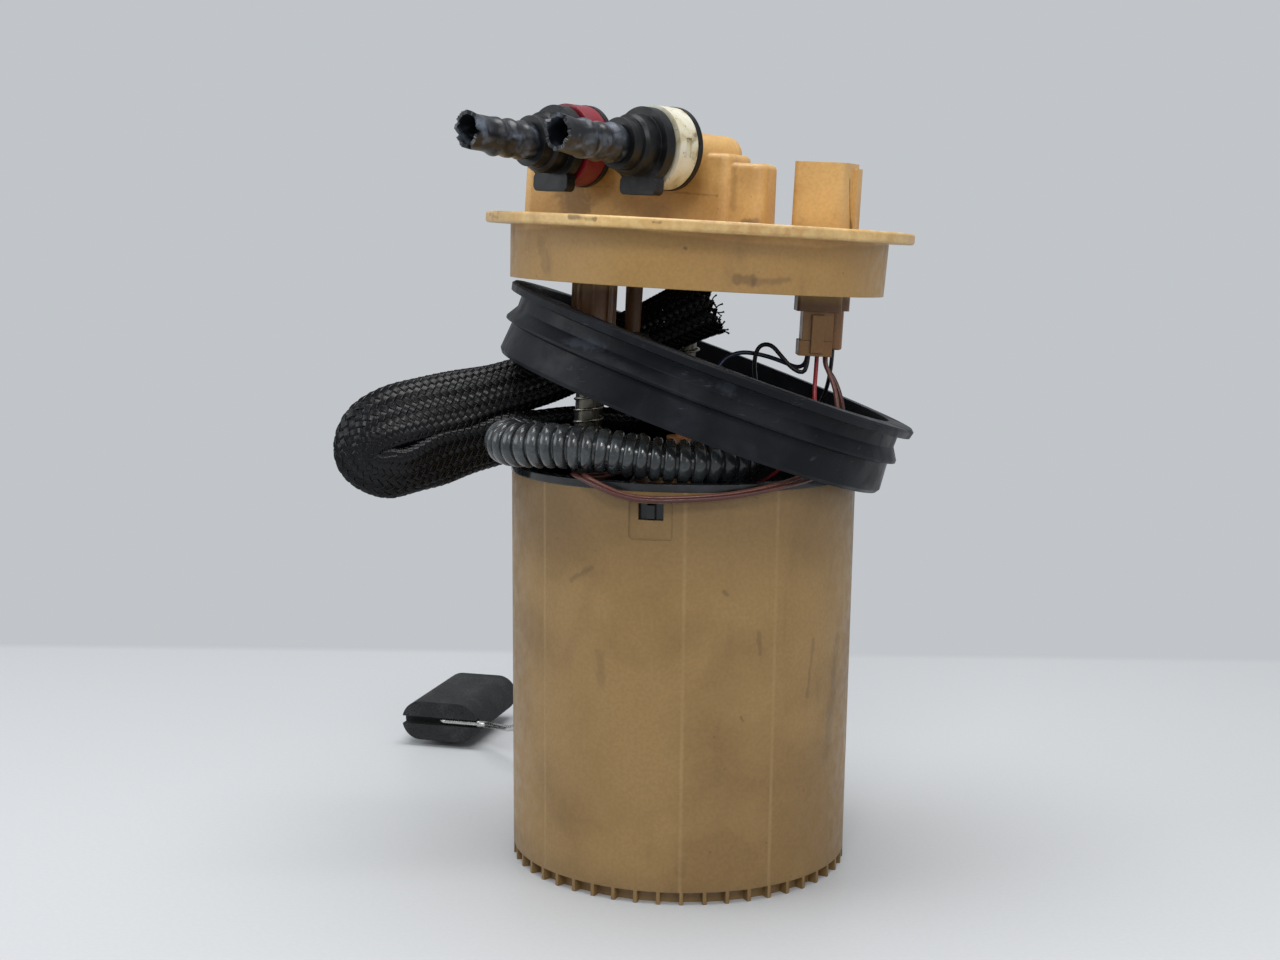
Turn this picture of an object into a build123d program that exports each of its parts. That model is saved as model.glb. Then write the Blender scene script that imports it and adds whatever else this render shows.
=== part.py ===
"""Fuel pump module for a car's tank: reservoir with pump, level sender, sprung cap and its cords.

Millimetres. The origin is the centre of the reservoir's foot, on the surface that the module
stands on, and +Z points up. The cap leans on the play of its guide rods, so what belongs to the
cap is drawn on one leaning plane. Each piece is written to parts/ as its own STEP file.
"""
from build123d import *
from math import cos, degrees, pi, radians, sin, tan
import os

os.makedirs("parts", exist_ok=True)

# ---------------------------------------------------------------- driving dimensions
# Fits and clearances
slip_gap = 0.05            # radial gap of a pin that turns or slides in its bore
seat_gap = 0.10            # radial gap of a piece that drops into another
free_gap = 0.40            # gap between pieces that pass each other

# Reservoir cup
cup_top_radius = 57.5
cup_draft = 1.04           # how much narrower the wall is at its foot
cup_foot_radius = cup_top_radius - cup_draft
cup_wall = 2.2
cup_top = 131.33
cup_lip = 3.98             # height of the wall's lower edge over the feet
cup_floor = 7.0            # underside of the floor
cup_floor_thickness = 2.2
foot_ring_inset = 3.06     # from the wall's foot to the ring
foot_ring_radius = cup_foot_radius - foot_ring_inset
foot_ring_wall = 2.0
foot_rib_count = 48
foot_rib_width = 1.2
inlet_x = -28.0            # filling valve in the floor
inlet_y = -14.0
inlet_hole_radius = 2.2
inlet_port_radius = 2.0
inlet_port_circle = 6.0
inlet_port_count = 6
flap_overlap = 1.2         # past the ports
flap_crown = 2.4
flap_middle = 1.5
flap_edge = 0.6
flap_stem = 1.6            # below the floor's underside
window_azimuth = -101.3    # snap window at the front, measured from +X
window_width = 7.9
window_bottom = 122.3
window_top = 127.5
window_count = 3
panel_width = 13.6         # shallow recess round each window
panel_bottom = 116.2
panel_top = 128.5
panel_depth = 0.5
panel_sag = 0.35           # of the round wall over half a panel's width
panel_corner = 1.0

# Carrier that clips into the cup's mouth
rim_overhang = 0.2
rim_radius = cup_top_radius + rim_overhang
rim_width = 4.5
rim_inner_radius = rim_radius - rim_width
rim_height = 2.3
carrier_wall = 1.8
carrier_plate = 108.0      # underside of its plate
carrier_plate_thickness = 2.5
carrier_boss_top = 126.0
guide_play = 0.65          # radial play of a rod in its guide
guide_wall = 2.6
hook_width = 3.0
hook_reach = 1.9
hook_draft = 6.0
well_share = 0.45          # width of a well, of the space between pump and wall
wells = (                  # azimuth and length of each
    (22.0, 34.0),
    (-99.0, 34.0),
    (127.0, 26.0),
)

# Cap
cap_x = 4.2
cap_z = 211.6              # middle of the flange
cap_tilt = 2.44            # lean on the guides' play, right side lower
flange_radius = 70.5
flange_thickness = 3.6
flange_edge = 0.9
flange_overhang = 8.2      # past the skirt
skirt_radius = flange_radius - flange_overhang
skirt_wall = 2.4
skirt_height = 17.2
skirt_draft = 2.0
cap_wall = 2.2
housing_yaw = -24.0
housing_top = 24.3
housing_inset = 2.9        # from the skirt's radius to the housing's left end
housing_left = housing_inset - skirt_radius
housing_front = -14.0
housing_back = 18.0
housing_right = 15.0
housing_cut = 12.0         # length of the slanting back corner
housing_corner = 7.0
housing_edge = 2.0
block_draft = 1.0
step_right = 26.0
step_front = -12.0
step_back = 4.0
step_top = 21.6
step_corner = 4.5

# Spigots, given on the cap's own plane at the middle of each release collar
spigot_turn = 225.0        # direction of both spigots in the cap's plane
spigot_height = 24.3
spigot_spacing = 30.0
spigot_stagger = 10.0
front_spigot_a = -14.75
front_spigot_b = -22.0
spigot_radius = 3.95
spigot_bore = 2.6
spigot_reach = 7.0         # past the middle of the collar
ridge_radius = 6.0
ridge_start = 2.5          # from a connector's back ring to its ridge
front_ridge_length = 30.0
rear_ridge_length = 38.0

# Electrical shroud on top and plug block below
shroud_left = 31.9
shroud_width = 17.4
shroud_front = -1.9
shroud_depth = 17.0
shroud_top = 23.1
shroud_wall = 1.5
shroud_corner = 2.4
shroud_rib_out = 1.4       # keying rib on its right side
shroud_rib_depth = 5.0
shroud_rib_drop = 1.5
pin_count = 4
pin_pitch = 2.8
pin_width = 1.5
pin_thickness = 0.8
pin_top = 15.0
pin_bottom = -14.0
pin_a = 40.2
pin_b = -11.0
block_a = 39.6
block_b = -10.8
block_width = 14.4
block_depth = 15.0
block_bottom = -24.8
block_corner = 1.2
seat_shorter = 2.0         # the sender plug's seat, beside the block
seat_wall = 1.5
plug_width = 10.0
plug_depth = 11.0
plug_top = -14.2
plug_bottom = -39.2
plug_flare = 0.8
plug_boot = 5.0
latch_width = 4.0
latch_height = 1.2
latch_gap = 2.0
sender_plug_a = 47.5
sender_plug_b = 9.0
sender_plug_radius = 3.0
sender_plug_bottom = -38.0
sender_plug_edge = 0.8

# Rods, springs and the cap's inner nipples, on the cap's plane
rod_radius = 3.65
front_rod_inset = 24.4     # from the cup's wall
front_rod_a = front_rod_inset - cup_top_radius
front_rod_b = -20.0
rear_rod_a = -1.0
rear_rod_inset = 13.5
rear_rod_b = cup_top_radius - rear_rod_inset
rod_bottom = 60.0          # lower end's distance over the feet
rod_grip = 22.0            # length held in the cap's socket
rod_chamfer = 0.5
socket_radius = 7.3
socket_bottom = -38.0
socket_rib_count = 8
socket_rib_length = 2.8
socket_rib_width = 1.2
socket_rib_depth = 0.9
spring_radius = 4.6        # to the middle of the wire
spring_wire = 0.4
spring_pitch = 3.75
spring_clear = 0.7         # from the middle of the end turns to their seats
supply_nipple_a = -20.5
supply_nipple_b = 14.6
supply_nipple_bottom = -36.0
return_nipple_a = -33.5
return_nipple_b = 8.0
return_nipple_bottom = -30.0
nipple_radius = 3.1
nipple_bore = 2.0
nipple_collar = 1.4
nipple_collar_height = 6.0
nipple_draft = 0.8
skirt_rib_count = 24       # short ribs between flange and skirt
skirt_rib_length = 8.0
skirt_rib_width = 1.3
skirt_rib_inset = 3.2

# Quick connectors, along the spigot from the middle of the release collar
collar_half = 4.0
collar_radius = 13.0
collar_inner_radius = 10.6
sleeve_radius = 10.0
back_ring = 2.0
back_ring_radius = 13.2
nose_flange_end = 9.0
nose_flange_radius = 12.2
nose_body_end = 15.0
nose_body_radius = 9.6
nose_ring_end = 19.0
nose_ring_radius = 8.0
nose_chamfer = 1.0
lug_width = 16.0
lug_height = 6.0
lug_corner = 2.0
notch_length = 6.0         # thumb notches in the release collar
notch_depth = 0.8
notch_height = 2.4
barb_end = 34.0
barb_radius = 4.2
barb_count = 3
connector_bore = 2.6
release_travel = 1.2
tube_end = 45.0
tube_wall = 1.3
tube_bulge = 0.7
tear_count = 7
tear_depth = 2.4
tear_floor = 0.55          # least depth of a tear, of the deepest
tear_phase = 2.3
tear_lead = 1.0
tear_skew = 0.3

# Tank seal
seal_x = 8.58
seal_z = 167.33
seal_tilt = 19.76
seal_stretch = 0.3         # the ring is this much tighter than the skirt
seal_inner_radius = skirt_radius - seal_stretch
seal_overhang = 0.5        # of the lip past the flange
seal_lip_radius = flange_radius + seal_overhang
seal_lip = 3.0
seal_neck_inset = 4.4
seal_neck_radius = seal_lip_radius - seal_neck_inset
seal_neck_end = -4.5
seal_second_inset = 2.0
seal_second_radius = seal_lip_radius - seal_second_inset
seal_second_lip = -9.2
seal_band_inset = 3.6
seal_band_radius = seal_lip_radius - seal_band_inset
seal_band_end = -19.1
seal_bottom = -20.3
seal_bevel = 0.8
seal_undercut = 0.5

# Pump
pump_x = 1.0
pump_y = -4.0
can_radius = 19.0
can_wall = 1.2
can_bottom = 32.0
can_top = 102.0
end_cap_lip = 3.0
inlet_cap_plug = 6.0
outlet_cap_plug = 7.0
end_cap_edge = 1.2
pump_port_radius = 6.0
pump_port_offset = 8.0
pump_port_length = 5.0
pump_port_wall = 1.6
pump_outlet_radius = 4.2
pump_outlet_bore = 2.6
pump_outlet_top = 122.0
terminal_width = 5.0
terminal_thickness = 2.0
terminal_height = 6.0
impeller_radius = 15.4
impeller_height = 3.6
impeller_vanes = 36
vane_depth = 2.2
shaft_radius = 2.0
shaft_chamfer = 0.3
armature_radius = 13.4
armature_bottom = 46.0
armature_length = 38.0
armature_slots = 8
slot_width = 2.4
slot_depth = 4.0
commutator_radius = 7.0
commutator_length = 5.0
magnet_inner_radius = 14.1
magnet_span = 130.0
valve_radius = 2.2
valve_height = 4.0
valve_lift = 1.5
valve_seat = 106.0

# Retainer over the pump
retainer_wall = 1.8
retainer_bottom = 96.0
retainer_top = 130.0
dome_radius = 6.8
dome_top = 143.0
tip_radius = 3.8
tip_top = 146.6
elbow_height = 137.6
elbow_turn = 184.0
elbow_end = 13.0
elbow_radius = 3.1
elbow_bore = 2.0
outlet_grip = 8.0           # length of the pump's outlet held in the socket
snap_slot_width = 5.0
snap_slot_height = 7.0
snap_slot_rise = 6.0

# Suction filter, rubber foot, jet pump, strainer
filter_length = 44.0
filter_width = 27.0
filter_thickness = 6.5
filter_x = 14.0
filter_y = 14.0
filter_turn = 35.0
isolator_height = 8.0
isolator_wall = 3.0
filter_collar = 2.0
leg_count = 3
leg_start = 150.0
leg_span = 240.0
leg_width = 7.0
jet_inset = 23.5           # from the cup's wall
jet_x = jet_inset - cup_top_radius
jet_y = 8.4
jet_radius = 6.0
jet_height = 12.0
jet_shoulder = 4.0
jet_floor = 2.0
strainer_radius = foot_ring_radius - foot_ring_wall - free_gap
strainer_spokes = 6
strainer_spoke_width = 3.0
strainer_hub_radius = 10.0
strainer_height = 3.0
strainer_rings = 3

# Level sender on the back of the cup
sender_azimuth = 76.0
sender_pivot_z = 78.0
sender_width = 30.0
sender_height = 44.0
sender_depth = 7.0
sender_gap = 2.2           # from the wall to the housing's back
sender_corner = 3.0
rail_width = 4.0
card_width = 20.0
card_height = 15.0
card_thickness = 0.8
card_drop = 2.5            # of its lower edge below the hub's top
hub_radius = 7.0
hub_thickness = 5.0
hub_pin_radius = 2.5
hub_edge = 0.5
hub_rise = 5.5             # of the hub's middle over the housing's face
hub_middle = cup_top_radius + sender_gap + sender_depth + hub_rise
arm_travel = 80.0
wiper_reach = 15.0
wiper_width = 3.0
wiper_root_gap = 1.0
wiper_tip_radius = 0.8
wiper_tip_inset = 1.5
wiper_thickness = 0.5
contact_gap = 0.05
stop_radius = 1.6
low_stop_circle = 18.0
high_stop_circle = 21.0
tower_width = 12.0         # terminal tower over the sender's housing
tower_rise = 4.0
tower_setback = 1.0
tower_lead = 8.0           # straight end of its wire
arm_wire = 1.25
arm_straight = 103.5       # from the hub to the first bend
arm_bends = (14.0, 6.0, 2.4)
arm_grip = 26.0            # length of wire inside the float
arm_sink = 2.0             # depth of the wire in the float's slot
arm_clear = 4.0            # from the float's side to the wire's bend
wire_hub_angle = -36.7     # direction of the arm at its hub when the float is down
float_length = 54.0
float_width = 32.0
float_thickness = 16.0
float_aside = 121.99       # middle of the float's near end, from the hub
float_out = 21.06
float_z = 10.8
float_edge = 1.5
float_slot = 3.2
float_slot_depth = 4.0
float_snap = 1.0           # keyhole that the wire snaps into
float_snap_depth = 2.5

# Plug on the pump's retainer
pump_plug_x = -6.6
pump_plug_y = -14.0
pump_plug_length = 7.5
pump_plug_width = 6.0
pump_plug_height = 7.0
pump_plug_corner = 1.0

# Cords
supply_hose_radius = 7.1
return_hose_radius = 4.75
sleeve_cord_radius = 7.5
hose_pass_gap = 1.6
hose_lead = 12.0           # straight stretch at the elbow
supply_lead = 6.0          # straight stretches at the nipples
supply_drop = 17.0
supply_aside = 0.4
return_drop = 20.0
wire_radius = 0.8
wire_step = 2.0            # between two wires that lie side by side
plug_wire_a = 40.2         # first wire out of the harness plug, on the cap's plane
plug_wire_b = -13.0
plug_wire_pitch = 2.9
arc_share = 0.45           # share of the shorter run that an arc's tangent takes

# ---------------------------------------------------------------- planes and directions
cap_normal = (sin(radians(cap_tilt)), 0, cos(radians(cap_tilt)))
cap_across = (cos(radians(cap_tilt)), 0, -sin(radians(cap_tilt)))
cap_plane = Plane(origin=(cap_x, 0, cap_z), x_dir=cap_across, z_dir=cap_normal)
cap_profile_plane = Plane(origin=(cap_x, 0, cap_z), x_dir=cap_across, z_dir=(0, -1, 0))
cap_axis = Axis(cap_plane.origin, cap_plane.z_dir)
housing_plane = cap_plane.rotated((0, 0, housing_yaw))
flange_top = flange_thickness / 2
flange_bottom = -flange_thickness / 2

seal_normal = (sin(radians(seal_tilt)), 0, cos(radians(seal_tilt)))
seal_across = (cos(radians(seal_tilt)), 0, -sin(radians(seal_tilt)))
seal_profile_plane = Plane(origin=(seal_x, 0, seal_z), x_dir=seal_across, z_dir=(0, -1, 0))
seal_axis = Axis((seal_x, 0, seal_z), seal_normal)

sender_out = (cos(radians(sender_azimuth)), sin(radians(sender_azimuth)), 0)
sender_side = (-sin(radians(sender_azimuth)), cos(radians(sender_azimuth)), 0)


def on_cap(a, b, c):
    """The point at (a, b) on the cap's plane and c over it."""
    return cap_plane.from_local_coords(Vector(a, b, c))


def cap_level(c):
    """The cap's plane moved c along the cap's axis."""
    return cap_plane.offset(c)


def sender_plane(distance):
    """A plane facing out of the cup at the sender, its X to the left of one who faces it."""
    middle = (sender_out[0] * distance, sender_out[1] * distance, sender_pivot_z)
    return Plane(origin=middle, x_dir=sender_side, z_dir=sender_out)


def spigot_plane(a, b, along=0.0):
    """A plane square to a spigot, `along` past the middle of its release collar."""
    turn = radians(spigot_turn)
    start = on_cap(a + along * cos(turn), b + along * sin(turn), spigot_height)
    reach = on_cap(a + (along + 1) * cos(turn), b + (along + 1) * sin(turn), spigot_height)
    return Plane(origin=start, x_dir=cap_normal, z_dir=reach - start)


def shift_spigot():
    """Place of the rear spigot's collar, from the front one's."""
    turn = radians(spigot_turn)
    a = front_spigot_a + spigot_stagger * cos(turn) + spigot_spacing * sin(turn)
    b = front_spigot_b + spigot_stagger * sin(turn) - spigot_spacing * cos(turn)
    return a, b


rear_spigot_a, rear_spigot_b = shift_spigot()
spigots = {"front": (front_spigot_a, front_spigot_b), "rear": (rear_spigot_a, rear_spigot_b)}
ridge_lengths = {"front": front_ridge_length, "rear": rear_ridge_length}
rods = {"front": (front_rod_a, front_rod_b), "rear": (rear_rod_a, rear_rod_b)}


def keep(builder, name):
    """Label a finished piece and write it to its STEP file."""
    builder.part.label = name
    export_step(builder.part, f"parts/{name}.step")


def cup_radius(z):
    """Outer radius of the cup's wall at a height."""
    share = (z - cup_lip) / (cup_top - cup_lip)
    return cup_foot_radius + share * (cup_top_radius - cup_foot_radius)


# ---------------------------------------------------------------- reservoir cup
with BuildPart() as reservoir_cup:
    with BuildSketch(Plane.XZ):
        with BuildLine():
            Polyline(
                (foot_ring_radius - foot_ring_wall, 0),
                (foot_ring_radius, 0),
                (foot_ring_radius, cup_floor),
                (cup_foot_radius - cup_wall, cup_floor),
                (cup_foot_radius - cup_wall, cup_lip),
                (cup_foot_radius, cup_lip),
                (cup_top_radius, cup_top),
                (cup_top_radius - cup_wall, cup_top),
                (cup_radius(cup_floor) - cup_wall, cup_floor + cup_floor_thickness),
                (0, cup_floor + cup_floor_thickness),
                (0, cup_floor),
                (foot_ring_radius - foot_ring_wall, cup_floor),
                close=True,
            )
        make_face()
    revolve(axis=Axis.Z)
    # Fine ribs between the foot ring and the wall, flush with the feet
    rib_reach = cup_foot_radius - foot_ring_radius + foot_ring_wall / 2
    with BuildSketch(Plane.XY):
        with PolarLocations(cup_foot_radius - rib_reach / 2, foot_rib_count):
            Rectangle(rib_reach, foot_rib_width)
    extrude(amount=cup_floor)
    # Snap windows in shallow recesses
    for step in range(window_count):
        turn = radians(window_azimuth + step * 360 / window_count)
        face_in = (cos(turn), sin(turn), 0)
        across = (-sin(turn), cos(turn), 0)
        recess_radius = cup_top_radius - panel_depth - panel_sag
        foot = (recess_radius * face_in[0], recess_radius * face_in[1], 0)
        recess_plane = Plane(origin=foot, x_dir=across, z_dir=face_in)
        with BuildSketch(recess_plane):
            with Locations((0, (panel_bottom + panel_top) / 2)):
                RectangleRounded(panel_width, panel_top - panel_bottom, panel_corner)
        extrude(amount=panel_depth * 3, mode=Mode.SUBTRACT)
        with BuildSketch(recess_plane):
            with Locations((0, (window_bottom + window_top) / 2)):
                Rectangle(window_width, window_top - window_bottom)
        extrude(amount=-2 * cup_wall, mode=Mode.SUBTRACT)
    # Ports of the filling valve
    with Locations((inlet_x, inlet_y, cup_floor + cup_floor_thickness)):
        Hole(inlet_hole_radius, depth=cup_floor_thickness)
        with PolarLocations(inlet_port_circle, inlet_port_count):
            Hole(inlet_port_radius, depth=cup_floor_thickness)
    # Rails that hold the level sender
    rail_offset = (sender_width - rail_width) / 2
    with BuildSketch(sender_plane(cup_top_radius - cup_wall)):
        with Locations((-rail_offset, 0), (rail_offset, 0)):
            Rectangle(rail_width, sender_height)
    extrude(amount=cup_wall + sender_gap)
keep(reservoir_cup, "reservoir_cup")

# ---------------------------------------------------------------- base strainer
with BuildPart() as base_strainer:
    with BuildSketch(Plane.XY):
        Circle(strainer_hub_radius)
        with PolarLocations(strainer_radius / 2, strainer_spokes):
            Rectangle(strainer_radius - strainer_spoke_width, strainer_spoke_width)
    extrude(amount=strainer_height)
    ring_step = (strainer_radius - strainer_hub_radius) / strainer_rings
    for ring in range(1, strainer_rings + 1):
        ring_radius = strainer_hub_radius + ring * ring_step
        with BuildSketch(Plane.XY):
            Circle(ring_radius)
            Circle(ring_radius - strainer_spoke_width, mode=Mode.SUBTRACT)
        extrude(amount=strainer_height)
    # Hub pillar up to the floor
    with BuildSketch(Plane.XY.offset(strainer_height)):
        Circle(strainer_hub_radius / 2)
    extrude(amount=cup_floor - strainer_height)
keep(base_strainer, "base_strainer")

# ---------------------------------------------------------------- filling valve
flap_radius = inlet_port_circle + inlet_port_radius + flap_overlap
floor_top = cup_floor + cup_floor_thickness
with BuildPart() as inlet_flap:
    with BuildSketch(Plane.XZ):
        with BuildLine():
            Polyline(
                (0, floor_top + flap_crown),
                (flap_radius / 2, floor_top + flap_middle),
                (flap_radius, floor_top + flap_edge),
                (flap_radius, floor_top),
                (inlet_hole_radius - seat_gap, floor_top),
                (inlet_hole_radius - seat_gap, cup_floor - flap_stem),
                (0, cup_floor - flap_stem),
                close=True,
            )
        make_face()
    revolve(axis=Axis.Z)
inlet_flap.part.position = (inlet_x, inlet_y, 0)
keep(inlet_flap, "inlet_flap")


# ---------------------------------------------------------------- carrier in the cup's mouth
def rod_crossing(name, z):
    """Where a leaning rod's axis passes a height over the feet."""
    a, b = rods[name]
    start = on_cap(a, b, 0)
    drop = (z - start.Z) / cap_plane.z_dir.Z
    return start + cap_plane.z_dir * drop


plug_radius = cup_radius(carrier_plate) - cup_wall - seat_gap
retainer_radius = can_radius + seat_gap + retainer_wall
boss_radius = rod_radius + guide_play + guide_wall
guide_middle = (carrier_plate + carrier_boss_top) / 2
with BuildPart() as carrier:
    with BuildSketch(Plane.XZ):
        with BuildLine():
            Polyline(
                (plug_radius - carrier_wall, carrier_plate),
                (plug_radius, carrier_plate),
                (plug_radius, cup_top),
                (rim_radius, cup_top),
                (rim_radius, cup_top + rim_height),
                (rim_inner_radius, cup_top + rim_height),
                (rim_inner_radius, cup_top),
                close=True,
            )
        make_face()
    revolve(axis=Axis.Z)
    with BuildSketch(Plane.XY.offset(carrier_plate)):
        Circle(plug_radius - carrier_wall / 2)
        # Wells beside the pump, for the fuel and the cords
        for azimuth, well_length in wells:
            spot_out = (cos(radians(azimuth)), sin(radians(azimuth)))
            inner = pump_x * spot_out[0] + pump_y * spot_out[1] + retainer_radius + seat_gap
            outer = plug_radius - carrier_wall / 2
            middle = (inner + outer) / 2
            with Locations(Location((middle * spot_out[0], middle * spot_out[1]), azimuth + 90)):
                SlotOverall(well_length, well_share * (outer - inner), mode=Mode.SUBTRACT)
    extrude(amount=carrier_plate_thickness)
    for name in rods:
        spot = rod_crossing(name, guide_middle)
        with BuildSketch(Plane.XY.offset(carrier_plate)):
            with Locations((spot.X, spot.Y)):
                Circle(boss_radius)
        extrude(amount=carrier_boss_top - carrier_plate)
    for name in rods:
        spot = rod_crossing(name, guide_middle)
        with Locations((spot.X, spot.Y, carrier_boss_top)):
            Hole(rod_radius + guide_play, depth=carrier_boss_top - carrier_plate)
    with Locations((pump_x, pump_y, carrier_plate + carrier_plate_thickness)):
        Hole(retainer_radius + seat_gap, depth=carrier_plate_thickness)
    with Locations((jet_x, jet_y, carrier_plate + carrier_plate_thickness)):
        Hole(return_hose_radius + hose_pass_gap, depth=carrier_plate_thickness)
    # Hooks that reach into the cup's windows
    for step in range(window_count):
        turn = radians(window_azimuth + step * 360 / window_count)
        face_in = (cos(turn), sin(turn), 0)
        across = (-sin(turn), cos(turn), 0)
        foot_radius = plug_radius - carrier_wall / 2
        foot = (foot_radius * face_in[0], foot_radius * face_in[1], 0)
        with BuildSketch(Plane(origin=foot, x_dir=across, z_dir=face_in)):
            with Locations((0, window_top - (window_top - window_bottom) / 2)):
                Rectangle(hook_width, window_top - window_bottom - free_gap)
        extrude(amount=carrier_wall / 2 + hook_reach, taper=hook_draft)
keep(carrier, "carrier")

# ---------------------------------------------------------------- pump: can and end caps


def pump_level(z):
    """A plane square to the pump at a height over the feet."""
    return Plane(origin=(pump_x, pump_y, z))


pump_axis = Axis((pump_x, pump_y, 0), (0, 0, 1))
can_inside = can_radius - can_wall
with BuildPart() as pump_can:
    with BuildSketch(pump_level(can_bottom)):
        Circle(can_radius)
        Circle(can_inside, mode=Mode.SUBTRACT)
    extrude(amount=can_top - can_bottom)
keep(pump_can, "pump_can")

with BuildPart() as pump_inlet_cap:
    with BuildSketch(pump_level(can_bottom - end_cap_lip)):
        Circle(can_radius)
    extrude(amount=end_cap_lip)
    with BuildSketch(pump_level(can_bottom)):
        Circle(can_inside - slip_gap)
    extrude(amount=inlet_cap_plug)
    fillet(pump_inlet_cap.faces().sort_by(Axis.Z)[0].edges(), end_cap_edge)
    # Suction port and its channel under the impeller
    port_plane = pump_level(can_bottom - end_cap_lip)
    with BuildSketch(port_plane):
        with Locations((pump_port_offset, 0)):
            Circle(pump_port_radius)
    extrude(amount=-pump_port_length)
    with BuildSketch(port_plane.offset(-pump_port_length)):
        with Locations((pump_port_offset, 0)):
            Circle(pump_port_radius - pump_port_wall)
    extrude(amount=pump_port_length + end_cap_lip + inlet_cap_plug, mode=Mode.SUBTRACT)
    with Locations((pump_x, pump_y, can_bottom + inlet_cap_plug)):
        Hole(shaft_radius + slip_gap, depth=inlet_cap_plug / 2)
keep(pump_inlet_cap, "pump_inlet_cap")

outlet_plug_bottom = can_top - outlet_cap_plug
with BuildPart() as pump_outlet_cap:
    with BuildSketch(pump_level(outlet_plug_bottom)):
        Circle(can_inside - slip_gap)
    extrude(amount=outlet_cap_plug)
    with BuildSketch(pump_level(can_top)):
        Circle(can_radius)
    extrude(amount=end_cap_lip)
    fillet(pump_outlet_cap.faces().sort_by(Axis.Z)[-1].edges(), end_cap_edge)
    with BuildSketch(pump_level(can_top + end_cap_lip)):
        Circle(pump_outlet_radius)
    extrude(amount=pump_outlet_top - can_top - end_cap_lip)
    # Outlet bore with the chamber of its check valve
    with Locations((pump_x, pump_y, pump_outlet_top)):
        Hole(pump_outlet_bore, depth=pump_outlet_top - valve_seat)
    with Locations((pump_x, pump_y, valve_seat)):
        Hole(valve_radius / 2, depth=end_cap_lip)
    with Locations((pump_x, pump_y, outlet_plug_bottom + outlet_cap_plug / 2)):
        Hole(shaft_radius + slip_gap, depth=outlet_cap_plug / 2)
    # Terminals
    with BuildSketch(pump_level(can_top + end_cap_lip)):
        with PolarLocations(can_radius / 2, 2, start_angle=90):
            Rectangle(terminal_width, terminal_thickness)
    extrude(amount=terminal_height)
keep(pump_outlet_cap, "pump_outlet_cap")

with BuildPart() as outlet_valve:
    with BuildSketch(pump_level(valve_seat)):
        Circle(valve_radius)
    extrude(amount=valve_height)
    fillet(outlet_valve.faces().sort_by(Axis.Z)[-1].edges(), valve_radius / 3)
keep(outlet_valve, "outlet_valve")

# ---------------------------------------------------------------- pump: moving rotor
impeller_bottom = can_bottom + inlet_cap_plug + free_gap
with BuildPart() as impeller:
    with BuildSketch(pump_level(impeller_bottom)):
        Circle(impeller_radius)
        Circle(shaft_radius, mode=Mode.SUBTRACT)
        with PolarLocations(impeller_radius, impeller_vanes):
            Rectangle(2 * vane_depth, pi * impeller_radius / impeller_vanes, mode=Mode.SUBTRACT)
    extrude(amount=impeller_height)
keep(impeller, "impeller")

armature_top = armature_bottom + armature_length
with BuildPart() as armature:
    with BuildSketch(pump_level(armature_bottom)):
        Circle(armature_radius)
        Circle(shaft_radius, mode=Mode.SUBTRACT)
        with PolarLocations(armature_radius, armature_slots):
            Rectangle(2 * slot_depth, slot_width, mode=Mode.SUBTRACT)
    extrude(amount=armature_length)
    with BuildSketch(pump_level(armature_top)):
        Circle(commutator_radius)
        Circle(shaft_radius, mode=Mode.SUBTRACT)
    extrude(amount=commutator_length)
keep(armature, "armature")

shaft_bottom = can_bottom + inlet_cap_plug / 2 + free_gap
shaft_top = outlet_plug_bottom + outlet_cap_plug / 2 - free_gap
with BuildPart() as rotor_shaft:
    with BuildSketch(pump_level(shaft_bottom)):
        Circle(shaft_radius)
    extrude(amount=shaft_top - shaft_bottom)
    chamfer(rotor_shaft.edges().filter_by(GeomType.CIRCLE), shaft_chamfer)
keep(rotor_shaft, "rotor_shaft")

with BuildPart() as motor_magnets:
    with BuildSketch(pump_level(armature_bottom)):
        Circle(can_inside - slip_gap)
        Circle(magnet_inner_radius, mode=Mode.SUBTRACT)
        gap_angle = (180 - magnet_span) / 2
        for side in (0, 180):
            reach = 2 * can_radius
            low = radians(side - gap_angle)
            high = radians(side + gap_angle)
            with BuildLine(mode=Mode.PRIVATE) as wedge_line:
                Polyline(
                    (0, 0),
                    (reach * cos(low), reach * sin(low)),
                    (reach * cos(high), reach * sin(high)),
                    close=True,
                )
            make_face(wedge_line.edges(), mode=Mode.SUBTRACT)
    extrude(amount=armature_length)
keep(motor_magnets, "motor_magnets")

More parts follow.
